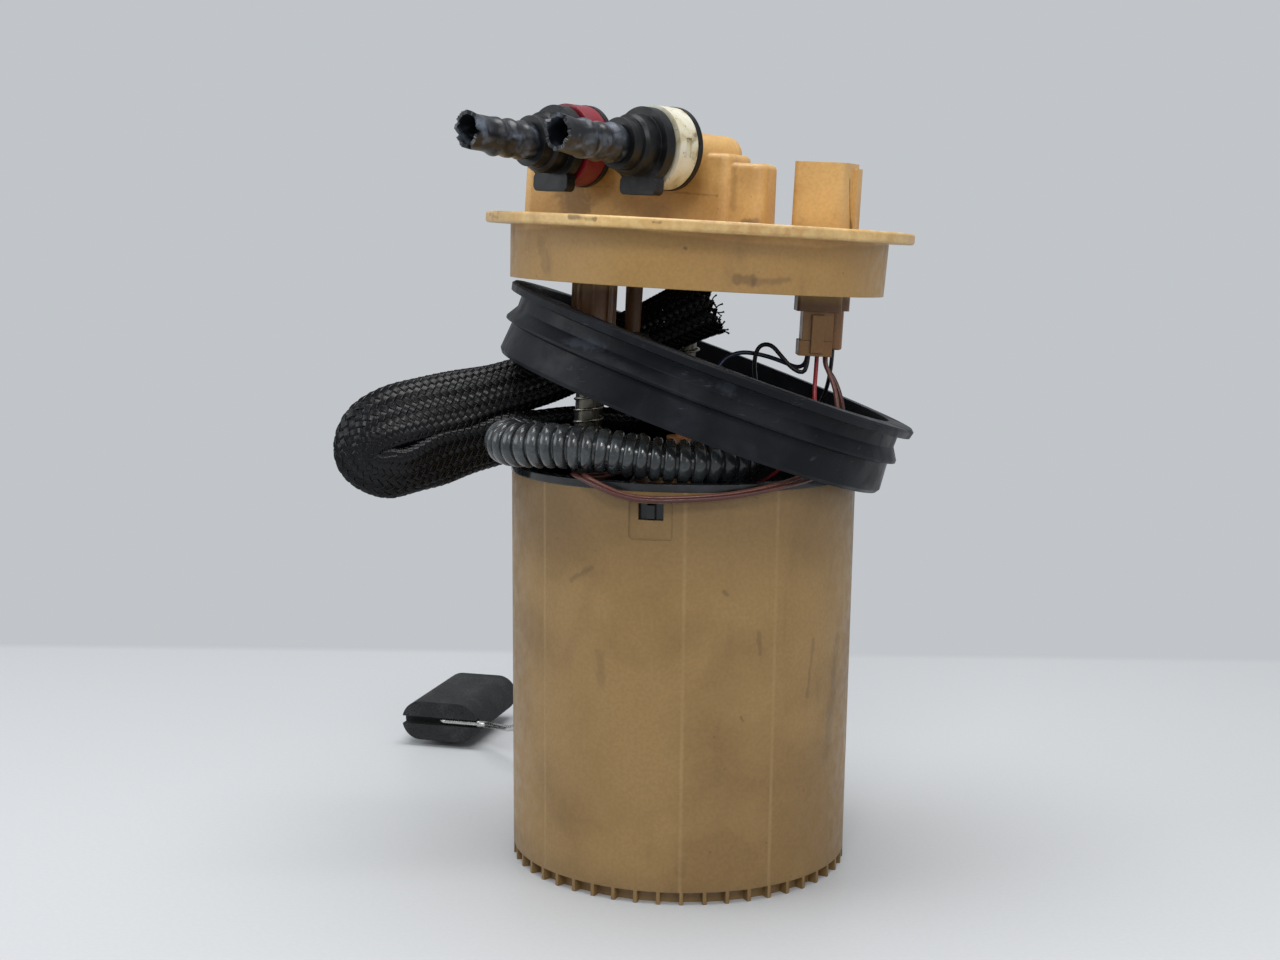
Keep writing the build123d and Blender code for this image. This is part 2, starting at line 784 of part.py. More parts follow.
# ---------------------------------------------------------------- retainer over the pump
retainer_inside = retainer_radius - retainer_wall
retainer_ceiling = retainer_top - retainer_wall
with BuildPart() as pump_retainer:
    with BuildSketch(Plane(origin=(pump_x, pump_y, 0), x_dir=(1, 0, 0), z_dir=(0, -1, 0))):
        with BuildLine():
            Polyline(
                (retainer_inside, retainer_bottom),
                (retainer_radius, retainer_bottom),
                (retainer_radius, retainer_top - 3 * retainer_wall),
                (retainer_radius - 2 * retainer_wall, retainer_top),
                (dome_radius, retainer_top),
                (dome_radius, dome_top),
                (tip_radius, dome_top),
                (tip_radius, tip_top),
                (0, tip_top),
                (0, dome_top - 2 * retainer_wall),
                (pump_outlet_radius + seat_gap, dome_top - 2 * retainer_wall),
                (pump_outlet_radius + seat_gap, retainer_ceiling),
                (retainer_inside, retainer_top - 4 * retainer_wall),
                close=True,
            )
        make_face()
    revolve(axis=pump_axis)
    # Socket that grips the outlet, and the side elbow for the hose
    with BuildSketch(pump_level(pump_outlet_top - outlet_grip)):
        Circle(pump_outlet_radius + seat_gap + retainer_wall)
        Circle(pump_outlet_radius + seat_gap, mode=Mode.SUBTRACT)
    extrude(amount=retainer_ceiling - pump_outlet_top + outlet_grip + retainer_wall / 2)
    elbow_out = (cos(radians(elbow_turn)), sin(radians(elbow_turn)), 0)
    elbow_plane = Plane(origin=(pump_x, pump_y, elbow_height), x_dir=(0, 0, 1), z_dir=elbow_out)
    with BuildSketch(elbow_plane.offset(pump_outlet_radius + retainer_wall / 2)):
        Circle(elbow_radius)
    extrude(amount=elbow_end - pump_outlet_radius - retainer_wall / 2)
    with BuildSketch(elbow_plane):
        Circle(elbow_bore)
    extrude(amount=elbow_end, mode=Mode.SUBTRACT)
    # Snap slots round the skirt
    with BuildSketch(Plane(origin=(pump_x, pump_y, 0), x_dir=(1, 0, 0), z_dir=(0, -1, 0))):
        with Locations((0, retainer_bottom + snap_slot_rise)):
            Rectangle(snap_slot_width, snap_slot_height)
    extrude(amount=retainer_radius, both=True, mode=Mode.SUBTRACT)
keep(pump_retainer, "pump_retainer")

# ---------------------------------------------------------------- filter, foot, jet pump
port_bottom = can_bottom - end_cap_lip - pump_port_length
filter_top = port_bottom
with BuildPart() as suction_filter:
    with BuildSketch(Plane.XY.offset(filter_top - filter_thickness)):
        with Locations(Location((filter_x, filter_y), filter_turn)):
            RectangleRounded(filter_length, filter_width, filter_width / 3)
    extrude(amount=filter_thickness)
    fillet(suction_filter.faces().sort_by(Axis.Z)[0].edges(), filter_thickness / 3)
    with BuildSketch(pump_level(filter_top)):
        with Locations((pump_port_offset, 0)):
            Circle(pump_port_radius + filter_collar)
            Circle(pump_port_radius + slip_gap, mode=Mode.SUBTRACT)
    extrude(amount=pump_port_length / 2)
keep(suction_filter, "suction_filter")

with BuildPart() as pump_foot:
    with BuildSketch(pump_level(can_bottom - end_cap_lip)):
        Circle(can_radius + isolator_wall)
        Circle(can_radius + slip_gap, mode=Mode.SUBTRACT)
    extrude(amount=isolator_height)
    # Stub legs that stand on the floor
    with BuildSketch(pump_level(floor_top)):
        with PolarLocations(
            can_radius + isolator_wall / 2, leg_count, start_angle=leg_start, angular_range=leg_span
        ):
            Rectangle(isolator_wall, leg_width)
    extrude(amount=can_bottom - end_cap_lip - floor_top)
keep(pump_foot, "pump_foot")

with BuildPart() as jet_pump:
    with BuildSketch(Plane.XY.offset(floor_top)):
        with Locations((jet_x, jet_y)):
            Circle(jet_radius)
    extrude(amount=jet_height - jet_shoulder)
    with BuildSketch(Plane.XY.offset(floor_top)):
        with Locations((jet_x, jet_y - jet_radius)):
            Rectangle(jet_radius, 2 * jet_radius)
    extrude(amount=jet_radius)
    with BuildSketch(Plane.XY.offset(floor_top)):
        with Locations((jet_x, jet_y)):
            Circle(nipple_radius)
    extrude(amount=jet_height)
    with Locations((jet_x, jet_y, floor_top + jet_height)):
        Hole(nipple_bore, depth=jet_height - jet_floor)
keep(jet_pump, "jet_pump")

# ---------------------------------------------------------------- level sender
sender_back = cup_top_radius + sender_gap
sender_face = sender_back + sender_depth


def sender_spot(radius, angle):
    """A point round the pivot, on any plane of the sender."""
    return (radius * cos(radians(angle)), radius * sin(radians(angle)))


def stop_angle(circle, angle, side):
    """Where a stop's middle stands so that the arm's wire just meets it."""
    return angle + side * degrees((arm_wire + stop_radius + slip_gap) / circle)


card_middle = (0, hub_radius - card_drop + card_height / 2)
with BuildPart() as sender_housing:
    with BuildSketch(sender_plane(sender_back)):
        RectangleRounded(sender_width, sender_height, sender_corner)
    extrude(amount=sender_depth)
    # Pocket for the card, hollow back, bore for the hub's pin
    with BuildSketch(sender_plane(sender_face)):
        with Locations(card_middle):
            Rectangle(card_width + 2 * seat_gap, card_height + 2 * seat_gap)
    extrude(amount=-card_thickness, mode=Mode.SUBTRACT)
    with BuildSketch(sender_plane(sender_back)):
        Rectangle(sender_width - 2 * rail_width, sender_height - 2 * rail_width)
        Circle(hub_radius, mode=Mode.SUBTRACT)
    extrude(amount=sender_depth / 2, mode=Mode.SUBTRACT)
    with BuildSketch(sender_plane(sender_back)):
        Circle(hub_pin_radius + slip_gap)
    extrude(amount=sender_depth, mode=Mode.SUBTRACT)
    # Two stops for the arm
    low_stop = sender_spot(low_stop_circle, stop_angle(low_stop_circle, wire_hub_angle, -1))
    high_stop = sender_spot(
        high_stop_circle, stop_angle(high_stop_circle, wire_hub_angle + arm_travel, 1)
    )
    with BuildSketch(sender_plane(sender_face)):
        with Locations(low_stop, high_stop):
            Circle(stop_radius)
    extrude(amount=hub_middle + arm_wire - sender_face)
    # Terminal tower at the top
    with BuildSketch(sender_plane(sender_back)):
        with Locations((0, sender_height / 2)):
            Rectangle(tower_width, 2 * tower_rise)
    extrude(amount=sender_depth - tower_setback)
keep(sender_housing, "sender_housing")

with BuildPart() as sender_card:
    with BuildSketch(sender_plane(sender_face - card_thickness)):
        with Locations(card_middle):
            Rectangle(card_width, card_height)
    extrude(amount=card_thickness)
keep(sender_card, "sender_card")

wiper_angle = 90 - arm_travel / 2
wiper_level = hub_middle - hub_thickness / 2
arm_direction = Vector(
    sender_side[0] * cos(radians(wire_hub_angle)),
    sender_side[1] * cos(radians(wire_hub_angle)),
    sin(radians(wire_hub_angle)),
)
hub_spot = Vector(sender_out[0] * hub_middle, sender_out[1] * hub_middle, sender_pivot_z)
with BuildPart() as sender_hub:
    with BuildSketch(sender_plane(wiper_level)):
        Circle(hub_radius)
    extrude(amount=hub_thickness)
    chamfer(sender_hub.edges().filter_by(GeomType.CIRCLE), hub_edge)
    with BuildSketch(sender_plane(sender_back + sender_depth / 4)):
        Circle(hub_pin_radius)
    extrude(amount=wiper_level - sender_back - sender_depth / 4)
    # Cross hole that grips the arm's wire
    with BuildSketch(Plane(origin=hub_spot, x_dir=sender_out, z_dir=arm_direction)):
        Circle(arm_wire)
    extrude(amount=2 * hub_radius, both=True, mode=Mode.SUBTRACT)
keep(sender_hub, "sender_hub")

wiper_root = hub_pin_radius + wiper_root_gap
with BuildPart() as sender_wiper:
    with BuildSketch(sender_plane(wiper_level - wiper_thickness)):
        with Locations(Location(sender_spot((wiper_reach + wiper_root) / 2, wiper_angle), wiper_angle)):
            Rectangle(wiper_reach - wiper_root, wiper_width)
    extrude(amount=wiper_thickness)
    with BuildSketch(sender_plane(sender_face + contact_gap)):
        with Locations(sender_spot(wiper_reach - wiper_tip_inset, wiper_angle)):
            Circle(wiper_tip_radius)
    extrude(amount=wiper_level - wiper_thickness - sender_face - contact_gap)
keep(sender_wiper, "sender_wiper")

# ---------------------------------------------------------------- float and its arm
float_along = Vector(*sender_out)
float_across = Vector(*sender_side)
float_near = hub_spot + float_along * float_out + float_across * float_aside
float_near = Vector(float_near.X, float_near.Y, float_z)
float_plane = Plane(origin=float_near, x_dir=sender_side, z_dir=sender_out)
wire_in_slot = float_near + float_along * arm_sink
arm_points = [
    hub_spot - arm_direction * hub_radius,
    hub_spot + arm_direction * arm_straight,
    wire_in_slot - float_across * (float_width / 2 + arm_clear),
    wire_in_slot,
    float_near + float_along * arm_grip,
]
with BuildPart() as float_arm:
    with BuildLine() as arm_line:
        FilletPolyline(*arm_points, radius=list(arm_bends))
    with BuildSketch(Plane(origin=arm_points[0], z_dir=arm_direction)):
        Circle(arm_wire)
    sweep(path=arm_line.line)
keep(float_arm, "float_arm")

with BuildPart() as level_float:
    with BuildSketch(float_plane):
        SlotOverall(float_width, float_thickness)
    extrude(amount=float_length)
    fillet(level_float.faces().sort_by(Axis(float_near, float_along))[-1].edges(), float_edge)
    with BuildSketch(float_plane):
        Rectangle(float_width, float_slot)
    extrude(amount=float_slot_depth, mode=Mode.SUBTRACT)
    with BuildSketch(float_plane):
        Circle(arm_wire + slip_gap)
    extrude(amount=arm_grip + float_snap, mode=Mode.SUBTRACT)
    with BuildSketch(float_plane.offset(float_slot_depth)):
        with Locations((-arm_wire - float_snap, 0)):
            Rectangle(2 * (arm_wire + float_snap), float_slot)
    extrude(amount=float_snap_depth, mode=Mode.SUBTRACT)
keep(level_float, "level_float")

# ---------------------------------------------------------------- cap
blade_plane = Plane(origin=on_cap(pin_a, pin_b, flange_bottom), x_dir=housing_plane.x_dir, z_dir=cap_normal)
skirt_inner_top = skirt_radius - skirt_wall
skirt_inset = skirt_height * tan(radians(skirt_draft))
skirt_bottom = flange_bottom - skirt_height
with BuildPart() as cap:
    with BuildSketch(cap_profile_plane):
        with BuildLine():
            Polyline(
                (0, flange_bottom),
                (skirt_inner_top, flange_bottom),
                (skirt_inner_top - skirt_inset, skirt_bottom),
                (skirt_radius - skirt_inset, skirt_bottom),
                (skirt_radius, flange_bottom),
                (flange_radius, flange_bottom),
                (flange_radius, flange_top),
                (0, flange_top),
                close=True,
            )
        make_face()
    revolve(axis=cap_axis)
    # Housing: a block with rounded corners and edges, and a lower step at its right
    with BuildPart(mode=Mode.PRIVATE) as housing:
        with BuildSketch(housing_plane.offset(flange_top)) as housing_outline:
            with BuildLine():
                Polyline(
                    (housing_left, housing_front),
                    (housing_right, housing_front),
                    (housing_right, housing_back - housing_cut),
                    (housing_right - housing_cut, housing_back),
                    (housing_left, housing_back),
                    close=True,
                )
            make_face()
            fillet(housing_outline.vertices(), housing_corner / 2)
        extrude(amount=housing_top - flange_top, taper=block_draft)
        fillet(housing.faces().sort_by(cap_axis)[-1].edges(), housing_edge)
    add(housing.part)
    step_length = step_right - housing_right + housing_corner
    with BuildPart(mode=Mode.PRIVATE) as lower_step:
        with BuildSketch(housing_plane.offset(flange_top)):
            with Locations((step_right - step_length / 2, (step_front + step_back) / 2)):
                RectangleRounded(step_length, step_back - step_front, step_corner)
        extrude(amount=step_top - flange_top, taper=block_draft)
        fillet(lower_step.faces().sort_by(cap_axis)[-1].edges(), housing_edge)
    add(lower_step.part)
    # Ridges that carry the spigots' ducts along the housing's top
    for name, (a, b) in spigots.items():
        ridge_front = collar_half + back_ring + ridge_start
        with BuildSketch(spigot_plane(a, b, -ridge_front)):
            Circle(ridge_radius)
        extrude(amount=ridge_front - ridge_lengths[name])
    for name, (a, b) in spigots.items():
        with Locations(spigot_plane(a, b, -ridge_lengths[name]).origin):
            Sphere(ridge_radius)
    # Hollow underside
    with BuildSketch(housing_plane.offset(flange_bottom)):
        with BuildLine():
            Polyline(
                (housing_left + cap_wall, housing_front + cap_wall),
                (housing_right - cap_wall, housing_front + cap_wall),
                (housing_right - cap_wall, housing_back - housing_cut - cap_wall / 2),
                (housing_right - housing_cut - cap_wall / 2, housing_back - cap_wall),
                (housing_left + cap_wall, housing_back - cap_wall),
                close=True,
            )
        make_face()
    extrude(
        amount=housing_top - cap_wall - ridge_radius - flange_bottom,
        taper=block_draft,
        mode=Mode.SUBTRACT,
    )
    # Spigots
    for name, (a, b) in spigots.items():
        with BuildSketch(spigot_plane(a, b, -2 * ridge_radius)):
            Circle(spigot_radius)
        extrude(amount=2 * ridge_radius + spigot_reach)
    # Electrical shroud, open at the top
    with BuildSketch(housing_plane.offset(flange_top)):
        with Locations((shroud_left + shroud_width / 2, shroud_front + shroud_depth / 2)):
            RectangleRounded(shroud_width, shroud_depth, shroud_corner)
            Rectangle(
                shroud_width - 2 * shroud_wall, shroud_depth - 2 * shroud_wall, mode=Mode.SUBTRACT
            )
    extrude(amount=shroud_top - flange_top)
    with BuildSketch(housing_plane.offset(flange_top)):
        with Locations((shroud_left + shroud_width, shroud_front + shroud_depth - shroud_rib_depth)):
            Rectangle(2 * shroud_rib_out, shroud_rib_depth)
    extrude(amount=shroud_top - shroud_rib_drop - flange_top)
    # Rod sockets with fine ribs
    for a, b in rods.values():
        with BuildSketch(cap_level(flange_bottom)):
            with Locations((a, b)):
                Circle(socket_radius - socket_rib_depth)
                with PolarLocations(socket_radius - socket_rib_length / 2, socket_rib_count):
                    Rectangle(socket_rib_length, socket_rib_width)
        extrude(amount=socket_bottom - flange_bottom)
    # Nipples for the two hoses inside the tank
    for a, b, bottom in (
        (supply_nipple_a, supply_nipple_b, supply_nipple_bottom),
        (return_nipple_a, return_nipple_b, return_nipple_bottom),
    ):
        with BuildSketch(cap_level(housing_top - cap_wall)):
            with Locations((a, b)):
                Circle(nipple_radius + nipple_collar)
        extrude(amount=flange_bottom - nipple_collar_height - housing_top + cap_wall)
        with BuildSketch(cap_level(flange_bottom - nipple_collar_height)):
            with Locations((a, b)):
                Circle(nipple_radius)
        extrude(amount=bottom - flange_bottom + nipple_collar_height, taper=nipple_draft)
    # Block for the harness plug, and the round seats of the sender's plug
    with BuildSketch(cap_level(flange_bottom)):
        with Locations((block_a, block_b)):
            RectangleRounded(block_width, block_depth, block_corner)
        with Locations((sender_plug_a, sender_plug_b)):
            SlotOverall(block_depth - seat_shorter, 2 * (sender_plug_radius + seat_wall), rotation=90)
    extrude(amount=block_bottom - flange_bottom)
    # Short ribs between flange and skirt
    with BuildSketch(cap_level(flange_bottom)):
        with PolarLocations(skirt_inner_top - skirt_rib_inset, skirt_rib_count):
            Rectangle(skirt_rib_length, skirt_rib_width)
    extrude(amount=-skirt_height / 2)
    # Bores
    for a, b in rods.values():
        with BuildSketch(cap_level(socket_bottom)):
            with Locations((a, b)):
                Circle(rod_radius)
        extrude(amount=rod_grip, mode=Mode.SUBTRACT)
    for a, b, bottom in (
        (supply_nipple_a, supply_nipple_b, supply_nipple_bottom),
        (return_nipple_a, return_nipple_b, return_nipple_bottom),
    ):
        with BuildSketch(cap_level(bottom)):
            with Locations((a, b)):
                Circle(nipple_bore)
        extrude(amount=spigot_height - bottom, mode=Mode.SUBTRACT)
    for name, (a, b) in spigots.items():
        with BuildSketch(spigot_plane(a, b, spigot_reach)):
            Circle(spigot_bore)
        extrude(amount=-spigot_reach - ridge_lengths[name], mode=Mode.SUBTRACT)
    with BuildSketch(cap_level(block_bottom)):
        with Locations((block_a, block_b)):
            Rectangle(plug_width + 2 * seat_gap, plug_depth + 2 * seat_gap)
    extrude(amount=plug_top - block_bottom, mode=Mode.SUBTRACT)
    with BuildSketch(cap_level(block_bottom)):
        with Locations((sender_plug_a, sender_plug_b)):
            Circle(sender_plug_radius + seat_gap)
    extrude(amount=plug_top - block_bottom, mode=Mode.SUBTRACT)
    # Slots of the terminal blades
    with BuildSketch(blade_plane.offset(plug_top - flange_bottom)):
        with GridLocations(pin_pitch, 0, pin_count, 1):
            Rectangle(pin_width, pin_thickness)
    extrude(amount=flange_top - plug_top, mode=Mode.SUBTRACT)
    # Soft edges
    flange_rims = cap.edges().filter_by(GeomType.CIRCLE).filter_by(lambda e: e.radius > flange_radius - slip_gap)
    fillet(flange_rims, flange_edge)
keep(cap, "cap")

with BuildPart() as terminal_pins:
    with BuildSketch(blade_plane.offset(pin_bottom - flange_bottom)):
        with GridLocations(pin_pitch, 0, pin_count, 1):
            Rectangle(pin_width, pin_thickness)
    extrude(amount=pin_top - pin_bottom)
keep(terminal_pins, "terminal_pins")

# ---------------------------------------------------------------- plugs under the cap
with BuildPart() as harness_plug:
    with BuildSketch(cap_level(plug_top)):
        with Locations((block_a, block_b)):
            Rectangle(plug_width, plug_depth)
    extrude(amount=plug_bottom + plug_boot - plug_top)
    with BuildSketch(cap_level(plug_bottom)):
        with Locations((block_a - plug_flare / 2, block_b)):
            Rectangle(plug_width + plug_flare, plug_depth + plug_flare)
    extrude(amount=plug_boot)
    # Latch on the front, with its ramp
    latch_front = block_b - plug_depth / 2
    with BuildSketch(Plane(origin=on_cap(block_a, latch_front, 0), x_dir=cap_across, z_dir=(0, -1, 0))):
        with Locations((0, (block_bottom + plug_bottom) / 2)):
            Rectangle(latch_width, block_bottom - plug_bottom - latch_gap)
    extrude(amount=latch_height)
keep(harness_plug, "harness_plug")

with BuildPart() as sender_plug:
    with BuildSketch(cap_level(plug_top)):
        with Locations((sender_plug_a, sender_plug_b)):
            Circle(sender_plug_radius)
    extrude(amount=sender_plug_bottom - plug_top)
    fillet(sender_plug.edges().filter_by(GeomType.CIRCLE).sort_by(Axis.Z)[0], sender_plug_edge)
keep(sender_plug, "sender_plug")

# ---------------------------------------------------------------- quick connectors
def turning_plane(a, b):
    """A plane through a spigot's axis: X square to the axis, Y along it."""
    level = spigot_plane(a, b)
    side = level.x_dir.cross(level.z_dir)
    return Plane(origin=level.origin, x_dir=level.x_dir, z_dir=side)


tube_radius = barb_radius + tube_wall
nose_start = collar_half + release_travel + free_gap / 2
for name, (a, b) in spigots.items():
    level = spigot_plane(a, b)
    profile_plane = turning_plane(a, b)
    spigot_axis = Axis(level.origin, level.z_dir)

    with BuildPart() as connector:
        with BuildSketch(profile_plane):
            with BuildLine():
                Polyline(
                    (spigot_radius + slip_gap, -collar_half - back_ring),
                    (back_ring_radius, -collar_half - back_ring),
                    (back_ring_radius, -collar_half - free_gap / 2),
                    (sleeve_radius, -collar_half - free_gap / 2),
                    (sleeve_radius, nose_start),
                    (nose_flange_radius, nose_start),
                    (nose_flange_radius, nose_flange_end),
                    (nose_body_radius, nose_flange_end),
                    (nose_body_radius, nose_body_end - nose_chamfer),
                    (nose_body_radius - nose_chamfer, nose_body_end),
                    (nose_ring_radius, nose_body_end),
                    (nose_ring_radius, nose_ring_end),
                    (barb_radius - slip_gap, nose_ring_end),
                    (barb_radius - slip_gap, barb_end - nose_chamfer),
                    (barb_radius - nose_chamfer, barb_end),
                    (connector_bore, barb_end),
                    (connector_bore, spigot_reach + free_gap),
                    (spigot_radius + slip_gap, spigot_reach + free_gap),
                    close=True,
                )
            make_face()
        revolve(axis=spigot_axis)
        # Two lugs under the flange
        with BuildSketch(level.offset(nose_start)):
            with Locations((-nose_flange_radius, 0)):
                RectangleRounded(lug_height, lug_width, lug_corner)
            Circle(nose_body_radius, mode=Mode.SUBTRACT)
        extrude(amount=nose_flange_end - nose_start)
    keep(connector, f"{name}_connector")

    with BuildPart() as collar:
        with BuildSketch(level.offset(-collar_half)):
            Circle(collar_radius)
            RegularPolygon(collar_radius, 8, major_radius=False, rotation=22.5, mode=Mode.INTERSECT)
            Circle(collar_inner_radius, mode=Mode.SUBTRACT)
        extrude(amount=2 * collar_half)
        # Thumb notches on both flanks
        with BuildSketch(level.offset(-notch_height / 2)):
            with Locations((0, -collar_radius), (0, collar_radius)):
                Rectangle(notch_length, 2 * notch_depth)
        extrude(amount=notch_height, mode=Mode.SUBTRACT)
    keep(collar, f"{name}_release_collar")

    with BuildPart() as tube_stub:
        with BuildSketch(profile_plane):
            bulge_count = barb_count + 1
            bulge_step = (tube_end - nose_ring_end) / bulge_count
            with BuildLine():
                Line((barb_radius, nose_ring_end), (tube_radius, nose_ring_end))
                for step in range(bulge_count):
                    low = nose_ring_end + step * bulge_step
                    ThreePointArc(
                        (tube_radius, low),
                        (tube_radius + tube_bulge, low + bulge_step / 2),
                        (tube_radius, low + bulge_step),
                    )
                Line((tube_radius, tube_end), (barb_radius, tube_end))
                Line((barb_radius, tube_end), (barb_radius, nose_ring_end))
            make_face()
        revolve(axis=spigot_axis)
        # Torn end
        for tear in range(tear_count):
            turn = radians(tear * 360 / tear_count)
            depth = tear_depth * (tear_floor + (1 - tear_floor) * sin(tear_phase * tear))
            out = level.x_dir * cos(turn) + level.y_dir * sin(turn)
            tear_plane = Plane(
                origin=level.origin + level.z_dir * tube_end, x_dir=out.cross(level.z_dir), z_dir=out
            )
            half = pi * tube_radius / tear_count
            with BuildSketch(tear_plane):
                with BuildLine():
                    Polyline((-half, tear_lead), (half, tear_lead), (tear_skew * half, -depth), close=True)
                make_face()
            extrude(amount=2 * tube_radius, mode=Mode.SUBTRACT)
    keep(tube_stub, f"{name}_tube_stub")

# ---------------------------------------------------------------- tank seal
with BuildPart() as tank_seal:
    with BuildSketch(seal_profile_plane):
        with BuildLine():
            Polyline(
                (seal_inner_radius, seal_bottom),
                (seal_inner_radius, seal_lip),
                (seal_lip_radius - seal_bevel, seal_lip),
                (seal_lip_radius, seal_lip - seal_bevel),
                (seal_lip_radius - seal_undercut, 0),
                (seal_neck_radius, -seal_undercut),
                (seal_neck_radius, seal_neck_end),
                (seal_second_radius, seal_second_lip + seal_bevel),
                (seal_second_radius, seal_second_lip),
                (seal_neck_radius, seal_second_lip - seal_bevel),
                (seal_band_radius, seal_band_end),
                (seal_band_radius - seal_bevel, seal_bottom),
                close=True,
            )
        make_face()
    revolve(axis=seal_axis)
keep(tank_seal, "tank_seal")

# ---------------------------------------------------------------- rods and springs
for name, (a, b) in rods.items():
    with BuildPart() as rod:
        with BuildSketch(cap_level(socket_bottom + rod_grip)):
            with Locations((a, b)):
                Circle(rod_radius)
        extrude(amount=rod_bottom - cap_z - socket_bottom - rod_grip)
        chamfer(rod.edges().filter_by(GeomType.CIRCLE), rod_chamfer)
    keep(rod, f"{name}_guide_rod")

    foot = rod_crossing(name, carrier_boss_top + spring_clear)
    head = on_cap(a, b, socket_bottom - spring_clear)
    with BuildPart() as spring:
        with BuildLine():
            coil = Helix(spring_pitch, (head - foot).length, spring_radius, center=foot, direction=cap_normal)
        with BuildSketch(Plane(origin=coil @ 0, z_dir=coil % 0)):
            RegularPolygon(spring_wire, 6)
        sweep(path=coil, is_frenet=True)
    keep(spring, f"{name}_spring")

with BuildPart() as pump_plug:
    with BuildSketch(Plane.XY.offset(retainer_top)):
        with Locations((pump_plug_x, pump_plug_y)):
            RectangleRounded(pump_plug_length, pump_plug_width, pump_plug_corner)
    extrude(amount=pump_plug_height)
keep(pump_plug, "pump_plug")

# ---------------------------------------------------------------- cords
def under_cap(a, b, c):
    """A point of a cord's route, placed from the cap."""
    return tuple(on_cap(a, b, c))


def past_rim(azimuth, gap, z):
    """A point of a cord's route outside the rim."""
    reach = rim_radius + gap
    return (reach * cos(radians(azimuth)), reach * sin(radians(azimuth)), z)


def by_sender(out, aside, z):
    """A point of a cord's route, placed from the back of the sender's housing."""
    reach = sender_back + out
    x = reach * sender_out[0] + aside * sender_side[0]
    y = reach * sender_out[1] + aside * sender_side[1]
    return (x, y, z)


